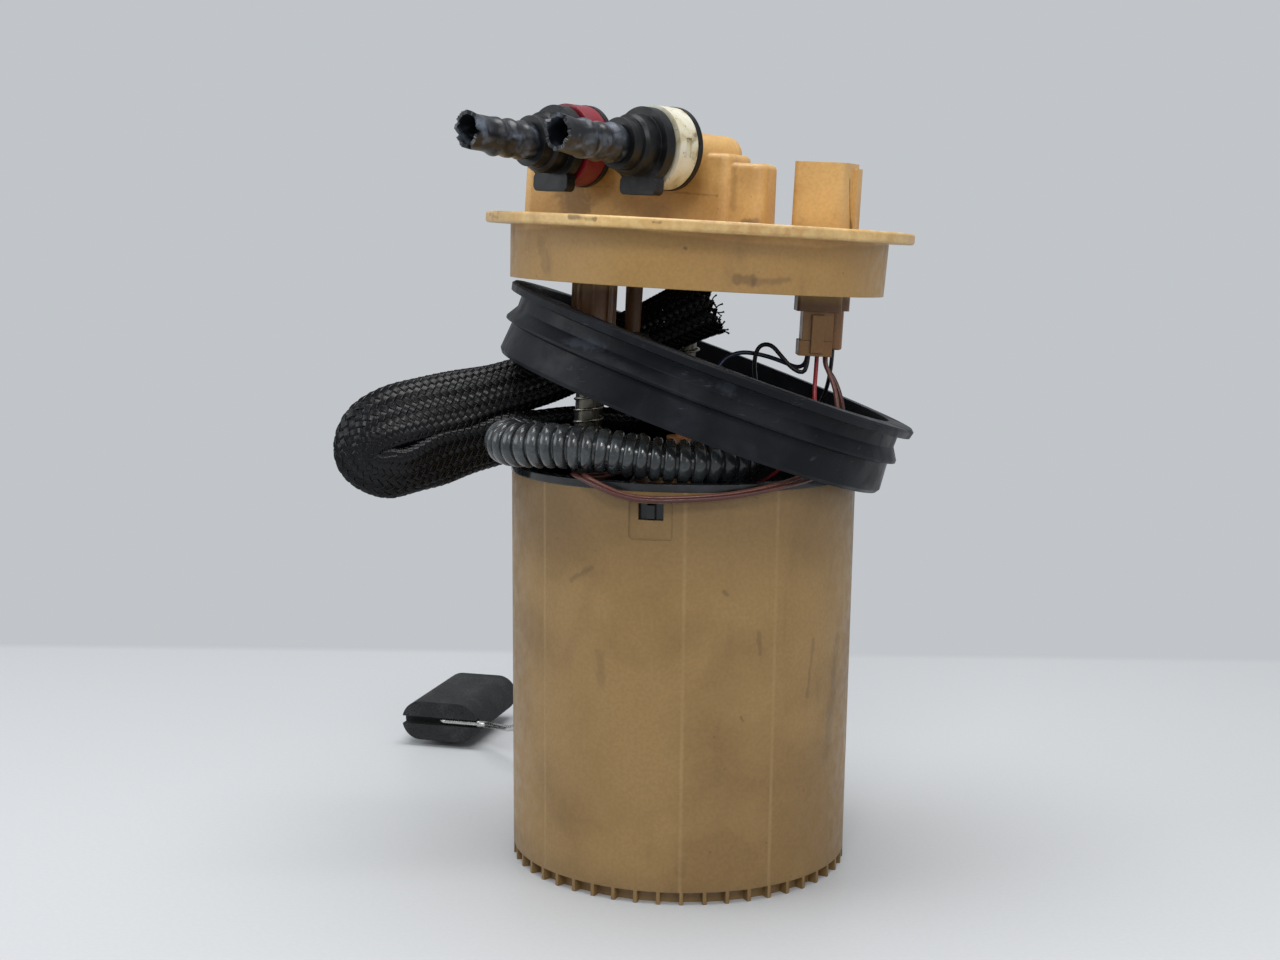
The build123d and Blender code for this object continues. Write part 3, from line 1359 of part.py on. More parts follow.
elbow_mouth = Vector(pump_x, pump_y, elbow_height) + Vector(*elbow_out) * elbow_end
jet_mouth = floor_top + jet_height
tower_top = sender_pivot_z + sender_height / 2 + tower_rise
tower_middle = (sender_depth - tower_setback) / 2
plug_left = pump_plug_x - pump_plug_length / 2
plug_right = pump_plug_x + pump_plug_length / 2
plug_front = pump_plug_y - pump_plug_width / 2
cords = {
    "supply_hose": (
        supply_hose_radius,
        [
            tuple(elbow_mouth),
            tuple(elbow_mouth + Vector(*elbow_out) * hose_lead),
            (-38.0, -6.2, 138.8),
            (-49.0, -9.4, 141.2),
            (-57.2, -17.6, 142.8),
            (-58.2, -28.2, 142.8),
            (-51.6, -37.2, 142.8),
            (-40.0, -42.8, 143.7),
            (-26.5, -46.0, 142.7),
            (-12.5, -47.0, 140.4),
            (-1.0, -47.2, 139.4),
            (8.2, -44.8, 139.0),
            (15.0, -40.0, 138.6),
            (18.6, -32.0, 139.2),
            (19.2, -22.5, 140.0),
            (18.8, -12.5, 141.2),
            (17.6, -3.0, 143.2),
            (11.6, 5.6, 145.8),
            (1.0, 11.2, 148.2),
            (-9.4, 12.8, 152.0),
            under_cap(supply_nipple_a - supply_aside, supply_nipple_b, supply_nipple_bottom - supply_drop),
            under_cap(supply_nipple_a, supply_nipple_b, supply_nipple_bottom - supply_lead),
            under_cap(supply_nipple_a, supply_nipple_b, supply_nipple_bottom),
        ],
    ),
    "return_hose": (
        return_hose_radius,
        [
            under_cap(return_nipple_a, return_nipple_b, return_nipple_bottom),
            under_cap(return_nipple_a, return_nipple_b, return_nipple_bottom - return_drop),
            (-33.0, 8.8, 137.0),
            (-34.3, 8.6, 104.0),
            (-34.5, 8.5, 66.0),
            (jet_x, jet_y, jet_mouth + return_drop),
            (jet_x, jet_y, jet_mouth),
        ],
    ),
    "braided_sleeve": (
        sleeve_cord_radius,
        [
            (10.0, 27.0, 187.0),
            (-3.0, 28.5, 180.5),
            (-17.0, 30.0, 174.0),
            (-31.0, 27.2, 167.4),
            (-44.0, 23.5, 161.6),
            (-58.0, 20.0, 157.0),
            (-73.0, 16.0, 153.0),
            (-88.0, 12.0, 149.9),
            (-100.5, 9.5, 146.8),
            (-108.8, 8.5, 141.0),
            (-110.4, 8.0, 132.6),
            (-105.4, 8.5, 125.8),
            (-96.6, 10.0, 124.2),
            (-83.0, 13.5, 129.6),
            (-66.5, 18.0, 138.0),
            (-50.0, 21.0, 143.0),
            (-33.0, 23.5, 144.6),
            (-15.0, 25.0, 144.0),
            (0.0, 26.2, 141.4),
            (10.5, 27.4, 135.0),
            (15.2, 28.2, 125.0),
            (16.6, 28.6, 114.5),
        ],
    ),
    "wire_red": (
        wire_radius,
        [
            under_cap(plug_wire_a, plug_wire_b, plug_bottom),
            under_cap(plug_wire_a, plug_wire_b, plug_bottom - 5.5),
            (41.8, -15.4, 157.5),
            (42.6, -20.6, 148.8),
            (41.2, -27.6, 141.8),
            (36.6, -32.4, 138.2),
            (30.6, -34.6, 136.4),
            (25.2, -34.4, 132.2),
            (19.4, -32.4, 130.0),
            (12.2, -29.0, 130.0),
            (5.6, -23.6, 131.8),
            (1.8, -17.6, 133.2),
            (plug_right + 2.8, pump_plug_y, 133.8),
            (plug_right, pump_plug_y, 133.8),
        ],
    ),
    "wire_brown": (
        wire_radius,
        [
            under_cap(plug_wire_a + plug_wire_pitch, plug_wire_b, plug_bottom),
            under_cap(plug_wire_a + plug_wire_pitch, plug_wire_b, plug_bottom - 2.6),
            (46.6, -13.6, 165.4),
            (48.9, -15.6, 159.6),
            (49.5, -20.6, 150.0),
            (47.0, -29.4, 142.0),
            (43.0, -38.6, 137.4),
            (37.2, -45.6, 135.8),
            past_rim(-59.8, 2.0, 133.9),
            past_rim(-73.6, 2.4, 131.5),
            past_rim(-86.4, 2.1, 130.2),
            past_rim(-100.9, 2.7, 129.5),
            past_rim(-108.9, 2.5, 130.3),
            past_rim(-116.0, 2.4, 132.8),
            (-31.0, -50.0, 134.9),
            (-32.8, -42.4, 134.7),
            (-31.6, -35.0, 132.6),
            (-26.6, -27.0, 131.6),
            (-19.4, -19.6, 133.4),
            (plug_left - 4.6, pump_plug_y, 133.8),
            (plug_left, pump_plug_y, 133.8),
        ],
    ),
    "wire_maroon": (
        wire_radius,
        [
            under_cap(plug_wire_a + plug_wire_pitch, plug_wire_b + plug_wire_pitch, plug_bottom),
            under_cap(plug_wire_a + plug_wire_pitch, plug_wire_b + plug_wire_pitch, plug_bottom - 3.4),
            (48.4, -11.6, 164.0),
            (51.0, -13.6, 157.4),
            (51.6, -19.6, 148.4),
            (49.0, -28.8, 140.4),
            (44.6, -38.6, 135.9),
            (38.2, -46.4, 134.2),
            past_rim(-59.8, 3.9, 133.2),
            past_rim(-73.6, 4.3, 131.0),
            past_rim(-86.4, 4.0, 129.7),
            past_rim(-100.9, 4.6, 129.0),
            past_rim(-108.9, 4.5, 129.8),
            past_rim(-116.0, 4.4, 132.3),
            (-34.0, -49.4, 134.9),
            (-36.4, -40.4, 134.7),
            (-32.6, -27.6, 132.4),
            (-23.0, -16.6, 132.0),
            (plug_left - 5.4, pump_plug_y + wire_step, 132.6),
            (plug_left, pump_plug_y + wire_step, 132.6),
        ],
    ),
    "wire_black": (
        wire_radius,
        [
            under_cap(plug_wire_a - plug_wire_pitch, plug_wire_b, plug_bottom),
            under_cap(plug_wire_a - plug_wire_pitch, plug_wire_b, plug_bottom - 2.4),
            (38.6, -13.0, 164.8),
            (34.8, -12.6, 166.4),
            (31.2, -11.8, 170.4),
            (27.8, -10.6, 174.4),
            (23.8, -9.4, 173.8),
            (22.4, -8.2, 168.4),
            (23.6, -4.4, 160.0),
            (27.2, 2.0, 147.4),
            (30.0, 8.4, 133.6),
            (31.0, 12.0, 118.0),
            (30.6, 13.6, 101.0),
        ],
    ),
    "wire_blue": (
        wire_radius,
        [
            under_cap(plug_wire_a - plug_wire_pitch, plug_wire_b + plug_wire_pitch, plug_bottom),
            under_cap(plug_wire_a - plug_wire_pitch, plug_wire_b + plug_wire_pitch, plug_bottom - 2.6),
            (37.0, -8.0, 166.2),
            (31.6, -7.2, 168.6),
            (25.0, -6.2, 170.6),
            (17.6, -7.4, 171.6),
            (11.0, -9.0, 168.4),
            (7.8, -13.0, 159.4),
            (6.0, -18.6, 149.0),
            (1.0, -21.8, 140.2),
            (-4.4, -22.4, 135.0),
            (pump_plug_x, plug_front - 3.4, 133.8),
            (pump_plug_x, plug_front, 133.8),
        ],
    ),
    "wire_sender": (
        wire_radius,
        [
            under_cap(sender_plug_a, sender_plug_b, sender_plug_bottom),
            under_cap(sender_plug_a, sender_plug_b, sender_plug_bottom - 6.5),
            (48.4, 14.0, 155.6),
            (44.4, 25.6, 146.2),
            (37.6, 38.0, 139.8),
            (30.4, 50.0, 136.8),
            by_sender(3.4, -7.4, 130.4),
            by_sender(4.9, -1.0, 120.4),
            by_sender(tower_middle, 0, tower_top + tower_lead),
            by_sender(tower_middle, 0, tower_top),
        ],
    ),
}


def arc_radii(points):
    """The radius of each corner of a route, from its turn and the shorter of its two runs."""
    radii = []
    for before, here, after in zip(points, points[1:], points[2:]):
        run_in = Vector(here) - Vector(before)
        run_out = Vector(after) - Vector(here)
        turn = radians(run_in.get_angle(run_out))
        radii.append(arc_share * min(run_in.length, run_out.length) / tan(turn / 2))
    return radii


for name, (radius, points) in cords.items():
    radii = arc_radii(points)
    with BuildPart() as cord:
        with BuildLine():
            route = FilletPolyline(*points, radius=radii)
        with BuildSketch(Plane(origin=route @ 0, z_dir=route % 0)):
            Circle(radius)
        sweep(path=route)
    share = cord.part.volume / (pi * radius**2 * route.length)
    print(name, "length", round(route.length, 1), "volume share", round(share, 4))
    print("   radii in diameters", [round(r / (2 * radius), 1) for r in radii])
    keep(cord, name)
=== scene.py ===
"""Fuel pump module for a car's tank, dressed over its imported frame.

The frame gives every moulded, pressed and turned piece. What is soft or woven, such as the
corrugated supply hose, the braided sleeve, the looms and the torn tubes, is built here, with the
springs and the hose clamps, and every surface gets its finish here. Metres, in the frame's axes.
"""
from __future__ import annotations

import logging
import math
import random
from collections.abc import Iterable, Sequence
from dataclasses import dataclass, field, replace
from enum import Enum
from itertools import pairwise

import bpy
from mathutils import Matrix, Vector


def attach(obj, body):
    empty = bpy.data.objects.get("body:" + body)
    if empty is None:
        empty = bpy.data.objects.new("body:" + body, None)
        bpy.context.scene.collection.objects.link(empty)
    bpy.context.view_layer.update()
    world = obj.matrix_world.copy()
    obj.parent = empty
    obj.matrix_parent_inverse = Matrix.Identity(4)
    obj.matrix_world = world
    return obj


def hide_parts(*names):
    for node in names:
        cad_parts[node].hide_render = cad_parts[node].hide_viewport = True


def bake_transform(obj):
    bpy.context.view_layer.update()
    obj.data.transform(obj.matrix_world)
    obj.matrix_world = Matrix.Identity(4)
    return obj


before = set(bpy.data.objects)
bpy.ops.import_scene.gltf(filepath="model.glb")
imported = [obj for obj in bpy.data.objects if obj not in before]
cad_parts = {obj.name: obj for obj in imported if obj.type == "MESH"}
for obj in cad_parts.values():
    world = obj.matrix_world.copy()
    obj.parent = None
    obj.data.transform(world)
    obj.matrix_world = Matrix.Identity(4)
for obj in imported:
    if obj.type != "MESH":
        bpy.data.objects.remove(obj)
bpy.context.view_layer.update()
LOG = logging.getLogger("fuel_pump_module")

MM = 0.001
TINY = 1e-12  # keeps a division by a length from failing
CREASE = 50.0  # degrees from which an edge of a cord or a spring stays sharp
Pair = tuple[float, float]
Triple = tuple[float, float, float]
Colour = tuple[float, float, float, float]
Track = tuple[Triple, ...]
Edge = tuple[list[Vector], list[Vector]]

UP: Triple = (0.0, 0.0, 1.0)
CAP_UP: Triple = (0.042573, 0.0, 0.999093)  # the cap's axis, which leans a little
SPIGOT_OUT: Triple = (-0.706465, -0.707107, 0.030104)  # the way that the spigots point


class Body(str, Enum):
    """The bodies that new pieces ride on or bend between."""

    RESERVOIR = "reservoir"
    CAP = "cap"
    FRONT_COUPLING = "front_coupling"
    REAR_COUPLING = "rear_coupling"


class Stiffness(str, Enum):
    """How hard a cord is to bend."""

    STIFF = "stiff"
    MEDIUM = "medium"
    LIMP = "limp"


class Lay(str, Enum):
    """How a cord lies between its ends."""

    LOOSE = "loose"
    HANGING = "hanging"


class FarEnd(str, Enum):
    """What a cord's far end does."""

    OBJECT = "object"
    BARE = "bare"


class Slot(str, Enum):
    """The record's material slots."""

    ACETAL = "acetal"
    ACETAL_INNER = "acetal_inner"
    BLACK_PLASTIC = "black_plastic"
    WHITE_PLASTIC = "white_plastic"
    RED_PLASTIC = "red_plastic"
    RUBBER = "rubber"
    FOAM = "foam"
    TUBE = "tube"
    HOSE = "hose"
    BRAID = "braid"
    STEEL = "steel"
    ZINC = "zinc"
    BRASS = "brass"
    FERRITE = "ferrite"
    IRON = "iron"
    CERAMIC = "ceramic"
    FILTER = "filter"
    WIRE_BLACK = "wire_black"
    WIRE_BLUE = "wire_blue"
    WIRE_RED = "wire_red"
    WIRE_BROWN = "wire_brown"


def tone(red: int, green: int, blue: int) -> Colour:
    """Turns a colour as a screen shows it into the linear values that a shader takes.

    Args:
        red: Red, 0 to 255.
        green: Green, 0 to 255.
        blue: Blue, 0 to 255.

    Returns:
        The linear colour, with an alpha of 1.
    """

    def one(level: int) -> float:
        """Turns one channel into its linear value."""
        share = level / 255
        return share / 12.92 if share <= 0.04045 else ((share + 0.055) / 1.055) ** 2.4

    return (one(red), one(green), one(blue), 1.0)


# ---------------------------------------------------------------- shader toolkit
class Signal:
    """One output socket of a node, on which sums are written as Python expressions."""

    def __init__(self, sheet: Sheet, socket: bpy.types.NodeSocket | None) -> None:
        """Wraps a socket.

        Args:
            sheet: The node tree that the socket belongs to.
            socket: The output socket, or None for a node that ends the tree.
        """
        self.sheet = sheet
        self.socket = socket

    def _sum(self, operation: str, *values: Number) -> Signal:
        """Adds a Math node that works on the values in their order."""
        return self.sheet.add("ShaderNodeMath", {"operation": operation}, dict(enumerate(values)))

    def __add__(self, other: Number) -> Signal:
        """Adds."""
        return self._sum("ADD", self, other)

    __radd__ = __add__

    def __sub__(self, other: Number) -> Signal:
        """Takes other away."""
        return self._sum("SUBTRACT", self, other)

    def __rsub__(self, other: Number) -> Signal:
        """Takes this away from other."""
        return self._sum("SUBTRACT", other, self)

    def __mul__(self, other: Number) -> Signal:
        """Multiplies."""
        return self._sum("MULTIPLY", self, other)

    __rmul__ = __mul__

    def __abs__(self) -> Signal:
        """Drops the sign."""
        return self._sum("ABSOLUTE", self)

    def at_least(self, other: Number) -> Signal:
        """The larger of the two."""
        return self._sum("MAXIMUM", self, other)

    def at_most(self, other: Number) -> Signal:
        """The smaller of the two."""
        return self._sum("MINIMUM", self, other)

    def sine(self) -> Signal:
        """The sine."""
        return self._sum("SINE", self)

    def rise(self, low: float, high: float, to_low: float = 0.0, to_high: float = 1.0) -> Signal:
        """Eases from to_low to to_high as the value goes from low to high.

        Args:
            low: The value at which the rise starts.
            high: The value at which it ends.
            to_low: The result up to low.
            to_high: The result from high on.

        Returns:
            The eased value.
        """
        return self.sheet.add(
            "ShaderNodeMapRange",
            {"interpolation_type": "SMOOTHSTEP"},
            {"Value": self, "From Min": low, "From Max": high, "To Min": to_low, "To Max": to_high},
        )


Number = Signal | float
Input = Signal | float | Sequence[float]


class Sheet:
    """The node tree of a material or of the world, in which every node comes from one method."""

    def __init__(self, owner: bpy.types.Material | bpy.types.World) -> None:
        """Empties the tree of something new.

        Args:
            owner: The material or world that the tree belongs to.
        """
        owner.use_nodes = True
        self.tree = owner.node_tree
        self.tree.nodes.clear()

    def add(
        self,
        kind: str,
        settings: dict[str, object] | None = None,
        values: dict[str | int, Input] | None = None,
        output: str | int = 0,
    ) -> Signal:
        """Makes a node.

        Args:
            kind: The node's type.
            settings: Its settings, set first.
            values: The values or links of its input sockets.
            output: Which of its outputs to use.

        Returns:
            The output as a signal.
        """
        node = self.tree.nodes.new(kind)
        for key, value in (settings or {}).items():
            setattr(node, key, value)
        for key, value in (values or {}).items():
            if isinstance(value, Signal):
                self.tree.links.new(value.socket, node.inputs[key])
            else:
                node.inputs[key].default_value = value
        return Signal(self, node.outputs[output] if node.outputs else None)

    def place(self) -> Signal:
        """The point of the surface, in metres."""
        return self.add("ShaderNodeTexCoord", output="Object")

    def axes(self, vector: Signal) -> tuple[Signal, Signal, Signal]:
        """Splits a vector into its three numbers.

        Args:
            vector: The vector.

        Returns:
            Its x, y and z.
        """
        first = self.add("ShaderNodeSeparateXYZ", values={0: vector})
        outputs = first.socket.node.outputs
        return first, Signal(self, outputs[1]), Signal(self, outputs[2])

    def vector(self, operation: str, *values: Input) -> Signal:
        """Adds a Vector Math node that gives a vector."""
        return self.add("ShaderNodeVectorMath", {"operation": operation}, dict(enumerate(values)))

    def measure(self, operation: str, *values: Input) -> Signal:
        """Adds a Vector Math node that gives a number."""
        settings = {"operation": operation}
        return self.add("ShaderNodeVectorMath", settings, dict(enumerate(values)), "Value")

    def noise(self, at: Signal, size: float, detail: float = 3.0, wander: float = 0.0) -> Signal:
        """Cloudy noise.

        Args:
            at: Where the surface is.
            size: How large its features are, in metres.
            detail: How many finer layers it has.
            wander: How far it is stirred.

        Returns:
            A number about 0.5.
        """
        values = {"Vector": at, "Scale": 1 / size, "Detail": detail, "Distortion": wander}
        return self.add("ShaderNodeTexNoise", values=values)

    def cells(self, at: Signal, size: float, feature: str = "F1") -> Signal:
        """Distance within a pattern of cells, in cell widths."""
        settings = {"feature": feature}
        return self.add("ShaderNodeTexVoronoi", settings, {"Vector": at, "Scale": 1 / size})

    def blend(self, share: Number, first: Input, second: Input, mode: str = "MIX") -> Signal:
        """Mixes two colours.

        Args:
            share: How much of the second there is.
            first: The first colour.
            second: The second colour.
            mode: How the second is laid on the first.

        Returns:
            The mixed colour.
        """
        settings = {"data_type": "RGBA", "blend_type": mode, "clamp_factor": True}
        return self.add("ShaderNodeMix", settings, {0: share, 6: first, 7: second}, 2)

    def stroke(self, at: Signal, mark: Stroke, ragged: Signal) -> Signal:
        """The mask of one mark that runs from a point to another.

        Args:
            at: Where the surface is.
            mark: The mark.
            ragged: Noise that roughens its edge.

        Returns:
            The mark's strength, 0 outside it.
        """
        start, end = Vector(mark.start), Vector(mark.end)
        run = end - start
        offset = self.vector("SUBTRACT", at, tuple(start))
        along = self.measure("DOT_PRODUCT", offset, tuple(run / max(run.length_squared, TINY)))
        held = along.at_least(0.0).at_most(1.0)
        nearest = self.add(
            "ShaderNodeVectorMath", {"operation": "SCALE"}, {0: tuple(run), "Scale": held}
        )
        gap = self.measure("DISTANCE", offset, nearest) + (ragged - 0.5) * (mark.width * 1.6)
        return gap.rise(mark.width * 0.25, mark.width, mark.strength, 0.0)

    def shade(
        self,
        colour: Input,
        roughness: Input,
        relief: Number | None = None,
        metallic: float = 0.0,
        coat: float = 0.0,
        rounding: float = 0.0,
        shine: float = 0.5,
    ) -> None:
        """Ends the sheet in its shader.

        Args:
            colour: The base colour.
            roughness: How matt the surface is.
            relief: The height of its relief, in metres.
            metallic: 1 for bare metal.
            coat: The weight of a clear coat.
            rounding: The radius that sharp edges seem to have, in metres.
            shine: How strongly it mirrors, 0.5 for common plastic.
        """
        values: dict[str | int, Input] = {
            "Base Color": colour,
            "Roughness": roughness,
            "Metallic": metallic,
            "Coat Weight": coat,
            "Specular IOR Level": shine,
        }
        normal = None
        if rounding:
            normal = self.add("ShaderNodeBevel", {"samples": 4}, {"Radius": rounding})
        if relief is not None:
            bump: dict[str | int, Input] = {"Strength": 1.0, "Distance": 1.0, "Height": relief}
            if normal is not None:
                bump["Normal"] = normal
            normal = self.add("ShaderNodeBump", values=bump)
        if normal is not None:
            values["Normal"] = normal
        surface = self.add("ShaderNodeBsdfPrincipled", values=values)
        self.add("ShaderNodeOutputMaterial", values={"Surface": surface})


@dataclass(frozen=True)
class Stroke:
    """A mark laid on a surface from one point to another, used for dirt and scratches, for painted
    shade and for a painted highlight.
    """

    start: Triple
    end: Triple
    width: float
    strength: float = 0.6


# ---------------------------------------------------------------- finishes
@dataclass(frozen=True)
class Wash:
    """A broad change of colour that grows between two levels of a piece; most washes below paint
    shade.
    """

    start: float
    end: float
    colour: Colour
    share: float


@dataclass(frozen=True)
class Finish:
    """What a surface is made of, and how it has aged."""

    name: str
    slot: Slot

    def material(self) -> bpy.types.Material:
        """Gives the finish's material, made the first time it is asked for.

        Returns:
            The material, which every piece in this finish shares.
        """
        known = bpy.data.materials.get(self.name)
        if known is not None:
            return known
        made = bpy.data.materials.new(self.name)
        self.paint(Sheet(made))
        return made

    def paint(self, sheet: Sheet) -> None:
        """Lays the finish's nodes."""
        raise NotImplementedError


@dataclass(frozen=True)
class AgedAcetal(Finish):
    """Natural acetal: fuel stains, mould marks, rubbed-in dirt, and bands of painted shade and
    highlight.
    """

    fresh: Colour = tone(208, 172, 112)
    tea: Colour = tone(172, 134, 82)
    soot: Colour = tone(74, 54, 34)
    pale: Colour = tone(226, 200, 142)
    grime: float = 0.5
    strokes: tuple[Stroke, ...] = ()
    parting_lines: tuple[float, ...] = ()
    washes: tuple[Wash, ...] = ()
    pale_band: tuple[float, float] | None = None
    band_normal: Triple = CAP_UP
    roughness: float = 0.42

    def paint(self, sheet: Sheet) -> None:
        """Lays stains, painted shade and highlight bands, dirt, mould parting lines and fine grain.

        Args:
            sheet: The material's node tree.
        """
        at = sheet.place()
        x, y, _ = sheet.axes(at)
        broad = sheet.noise(at, 0.062, 2.0)
        cloud = sheet.noise(at, 0.021, 4.0, 0.4)
        hanging = sheet.vector("MULTIPLY", at, (1.0, 1.0, 0.2))
        drip = sheet.noise(hanging, 0.0105, 5.0, 0.7)
        grain = sheet.noise(at, 0.0011, 2.0)
        fine = sheet.noise(at, 0.0042, 3.0)
        stain = (broad * 0.6 + cloud * 0.4).rise(0.4, 0.62)
        colour = sheet.blend(stain, self.fresh, self.tea)
        relief = grain * 0.00002 + cloud * 0.0003
        level = sheet.measure("DOT_PRODUCT", at, self.band_normal)
        # Washes are broad bands: painted shade on the cap's skirt, on the posts below it and under
        # the cup's rim, and a darkening at the cup's foot.
        for wash in self.washes:
            reach = (level + (broad - 0.5) * 0.012).rise(wash.start, wash.end)
            colour = sheet.blend(reach * wash.share, colour, wash.colour)
        # The pale band is a painted highlight along the flange's edge.
        if self.pale_band is not None:
            low, high = self.pale_band
            inside = level.rise(low - 0.0003, low) * level.rise(high, high + 0.0003, 1.0, 0.0)
            colour = sheet.blend(inside * (fine.rise(0.35, 0.6, 0.15, 0.45)), colour, self.pale)
        for line in self.parting_lines:
            across = abs(x * -math.sin(line) + y * math.cos(line))
            front = (x * math.cos(line) + y * math.sin(line)).rise(0.01, 0.02)
            seam = across.rise(0.0002, 0.0009, 1.0, 0.0) * front
            colour = sheet.blend(seam * (broad.rise(0.3, 0.6, 0.05, 0.16)), colour, self.pale)
            relief = relief + seam * 0.00003
        dirt = drip.rise(0.54, 0.74) * self.grime * cloud.rise(0.4, 0.6, 0.25, 1.0)
        specks = sheet.cells(at, 0.0062).rise(0.03, 0.075, 1.0, 0.0) * broad.rise(0.46, 0.6)
        colour = sheet.blend(dirt * 0.62, colour, self.soot)
        colour = sheet.blend(specks * 0.45, colour, self.soot)
        ragged = sheet.noise(at, 0.0035, 4.0, 0.8)
        # Strokes darken in the soot colour: dirt and scratches, and on the cap also a painted
        # shadow of the connectors.
        for mark in self.strokes:
            mask = sheet.stroke(at, mark, ragged)
            colour = sheet.blend(mask, colour, self.soot)
        colour = sheet.blend(1.0, colour, grain.rise(0.3, 0.7, 0.94, 1.05), "MULTIPLY")
        matt = fine.rise(0.35, 0.65, self.roughness - 0.06, self.roughness + 0.07) + dirt * 0.12
        sheet.shade(colour, matt, relief, rounding=0.00045)


@dataclass(frozen=True)
class Moulded(Finish):
    """Coloured plastic with handling scratches, dust in its hollows and a semi-gloss skin."""

    colour: Colour = tone(22, 23, 26)
    worn: Colour = tone(70, 74, 80)
    dust: float = 0.35
    roughness: float = 0.34
    smear: float = 0.02
    rounding: float = 0.0004
    coat: float = 0.0
    shine: float = 0.5

    def paint(self, sheet: Sheet) -> None:
        """Lays the rubbed patches, the scratches and the skin's waviness.

        Args:
            sheet: The material's node tree.
        """
        at = sheet.place()
        patch = sheet.noise(at, self.smear, 4.0, 0.6)
        fine = sheet.noise(at, 0.0028, 4.0, 0.3)
        scratch_at = sheet.vector("MULTIPLY", at, (0.18, 1.0, 1.0))
        scratch = sheet.noise(scratch_at, 0.0011, 2.0, 1.4).rise(0.63, 0.72)
        grain = sheet.noise(at, 0.0007, 2.0)
        rubbed = patch.rise(0.46, 0.7) * fine.rise(0.36, 0.66, 0.35, 1.0) * self.dust
        bare = (rubbed + scratch * 0.22 * self.dust).at_most(1.0)
        colour = sheet.blend(bare, self.colour, self.worn)
        matt = patch.rise(0.35, 0.65, self.roughness - 0.07, self.roughness + 0.13) + scratch * 0.1
        relief = grain * 0.000012 + patch * 0.0001 - scratch * 0.00001
        sheet.shade(
            colour, matt, relief, coat=self.coat, rounding=self.rounding, shine=self.shine
        )


@dataclass(frozen=True)
class Grimy(Finish):
    """Pale plastic with dirt that has settled in its corners and been wiped off its faces."""

    colour: Colour = tone(206, 204, 190)
    dirt: Colour = tone(66, 62, 54)
    amount: float = 0.7
    roughness: float = 0.46

    def paint(self, sheet: Sheet) -> None:
        """Lays the dirt, the yellowing and a few dark scores.

        Args:
            sheet: The material's node tree.
        """
        at = sheet.place()
        patch = sheet.noise(at, 0.008, 5.0, 0.7)
        fine = sheet.noise(at, 0.0019, 4.0, 0.5)
        score = sheet.noise(sheet.vector("MULTIPLY", at, (1.0, 0.16, 1.0)), 0.0013, 2.0, 1.2)
        fade = (0.86, 0.78, 0.58, 1.0)
        yellow = tuple(c * k for c, k in zip(self.colour, fade, strict=True))
        colour = sheet.blend(patch.rise(0.35, 0.65), self.colour, yellow)
        settled = patch.rise(0.5, 0.68) * fine.rise(0.38, 0.6, 0.2, 1.0) * self.amount
        scores = score.rise(0.66, 0.71) * 0.55
        colour = sheet.blend((settled + scores).at_most(0.92), colour, self.dirt)
        matt = fine.rise(0.3, 0.7, self.roughness - 0.08, self.roughness + 0.14)
        sheet.shade(colour, matt, fine * 0.00005 + patch * 0.0001, rounding=0.0004)


@dataclass(frozen=True)
class Rubber(Finish):
    """Cured rubber: a dull bloom, scuffs, its mould's fine ripple, painted highlight strokes."""

    colour: Colour = tone(15, 17, 22)
    bloom: Colour = tone(62, 67, 76)
    bloom_share: float = 0.15
    roughness: float = 0.4
    shine: float = 0.15
    strokes: tuple[Stroke, ...] = ()

    def paint(self, sheet: Sheet) -> None:
        """Lays the bloom, the scuffs, the painted highlight strokes and the dull sheen.

        Args:
            sheet: The material's node tree.
        """
        at = sheet.place()
        broad = sheet.noise(at, 0.034, 3.0, 0.5)
        cloud = sheet.noise(at, 0.0085, 5.0, 0.6)
        fine = sheet.noise(at, 0.0012, 4.0)
        scuff = sheet.noise(sheet.vector("MULTIPLY", at, (0.16, 0.5, 1.0)), 0.0012, 3.0, 0.9)
        bloomed = broad.rise(0.4, 0.64) * cloud.rise(0.34, 0.64, 0.4, 1.0) * self.bloom_share
        scuffs = scuff.rise(0.62, 0.7) * cloud.rise(0.5, 0.62) * 0.5
        colour = sheet.blend((bloomed + scuffs).at_most(1.0), self.colour, self.bloom)
        ragged = sheet.noise(at, 0.002, 4.0, 0.8)
        # Each stroke lays a pale streak in the bloom colour, mostly a painted highlight.
        for mark in self.strokes:
            colour = sheet.blend(sheet.stroke(at, mark, ragged), colour, self.bloom)
        matt = cloud.rise(0.3, 0.7, self.roughness - 0.09, self.roughness + 0.12)
        relief = fine * 0.00003 + cloud * 0.00012 - scuffs * 0.00004
        sheet.shade(colour, matt, relief, rounding=0.0003, shine=self.shine)


@dataclass(frozen=True)
class Foam(Finish):
    """Closed-cell nitrile foam: a fine pitted skin, lighter where it has been handled."""

    colour: Colour = tone(32, 33, 34)
    rubbed: Colour = tone(64, 65, 66)
    cell: float = 0.00075
    shine: float = 0.22

    def paint(self, sheet: Sheet) -> None:
        """Lays the cells, the pits and the handled patches.

        Args:
            sheet: The material's node tree.
        """
        at = sheet.place()
        cells = sheet.cells(at, self.cell)
        walls = sheet.cells(at, self.cell * 1.7, "DISTANCE_TO_EDGE")
        patch = sheet.noise(at, 0.012, 4.0, 0.5)
        fine = sheet.noise(at, 0.0016, 4.0)
        pit = fine.rise(0.62, 0.72)
        colour = sheet.blend(cells.rise(0.1, 0.6), self.colour, self.rubbed)
        colour = sheet.blend(patch.rise(0.4, 0.66, 0.25, 0.75), self.colour, colour)
        colour = sheet.blend(pit * 0.55, colour, tone(20, 20, 21))
        relief = cells * -0.00012 + walls.rise(0.0, 0.1) * 0.00004 - pit * 0.00012
        matt = patch.rise(0.3, 0.7, 0.74, 0.9)
        sheet.shade(colour, matt, relief, rounding=0.0004, shine=self.shine)


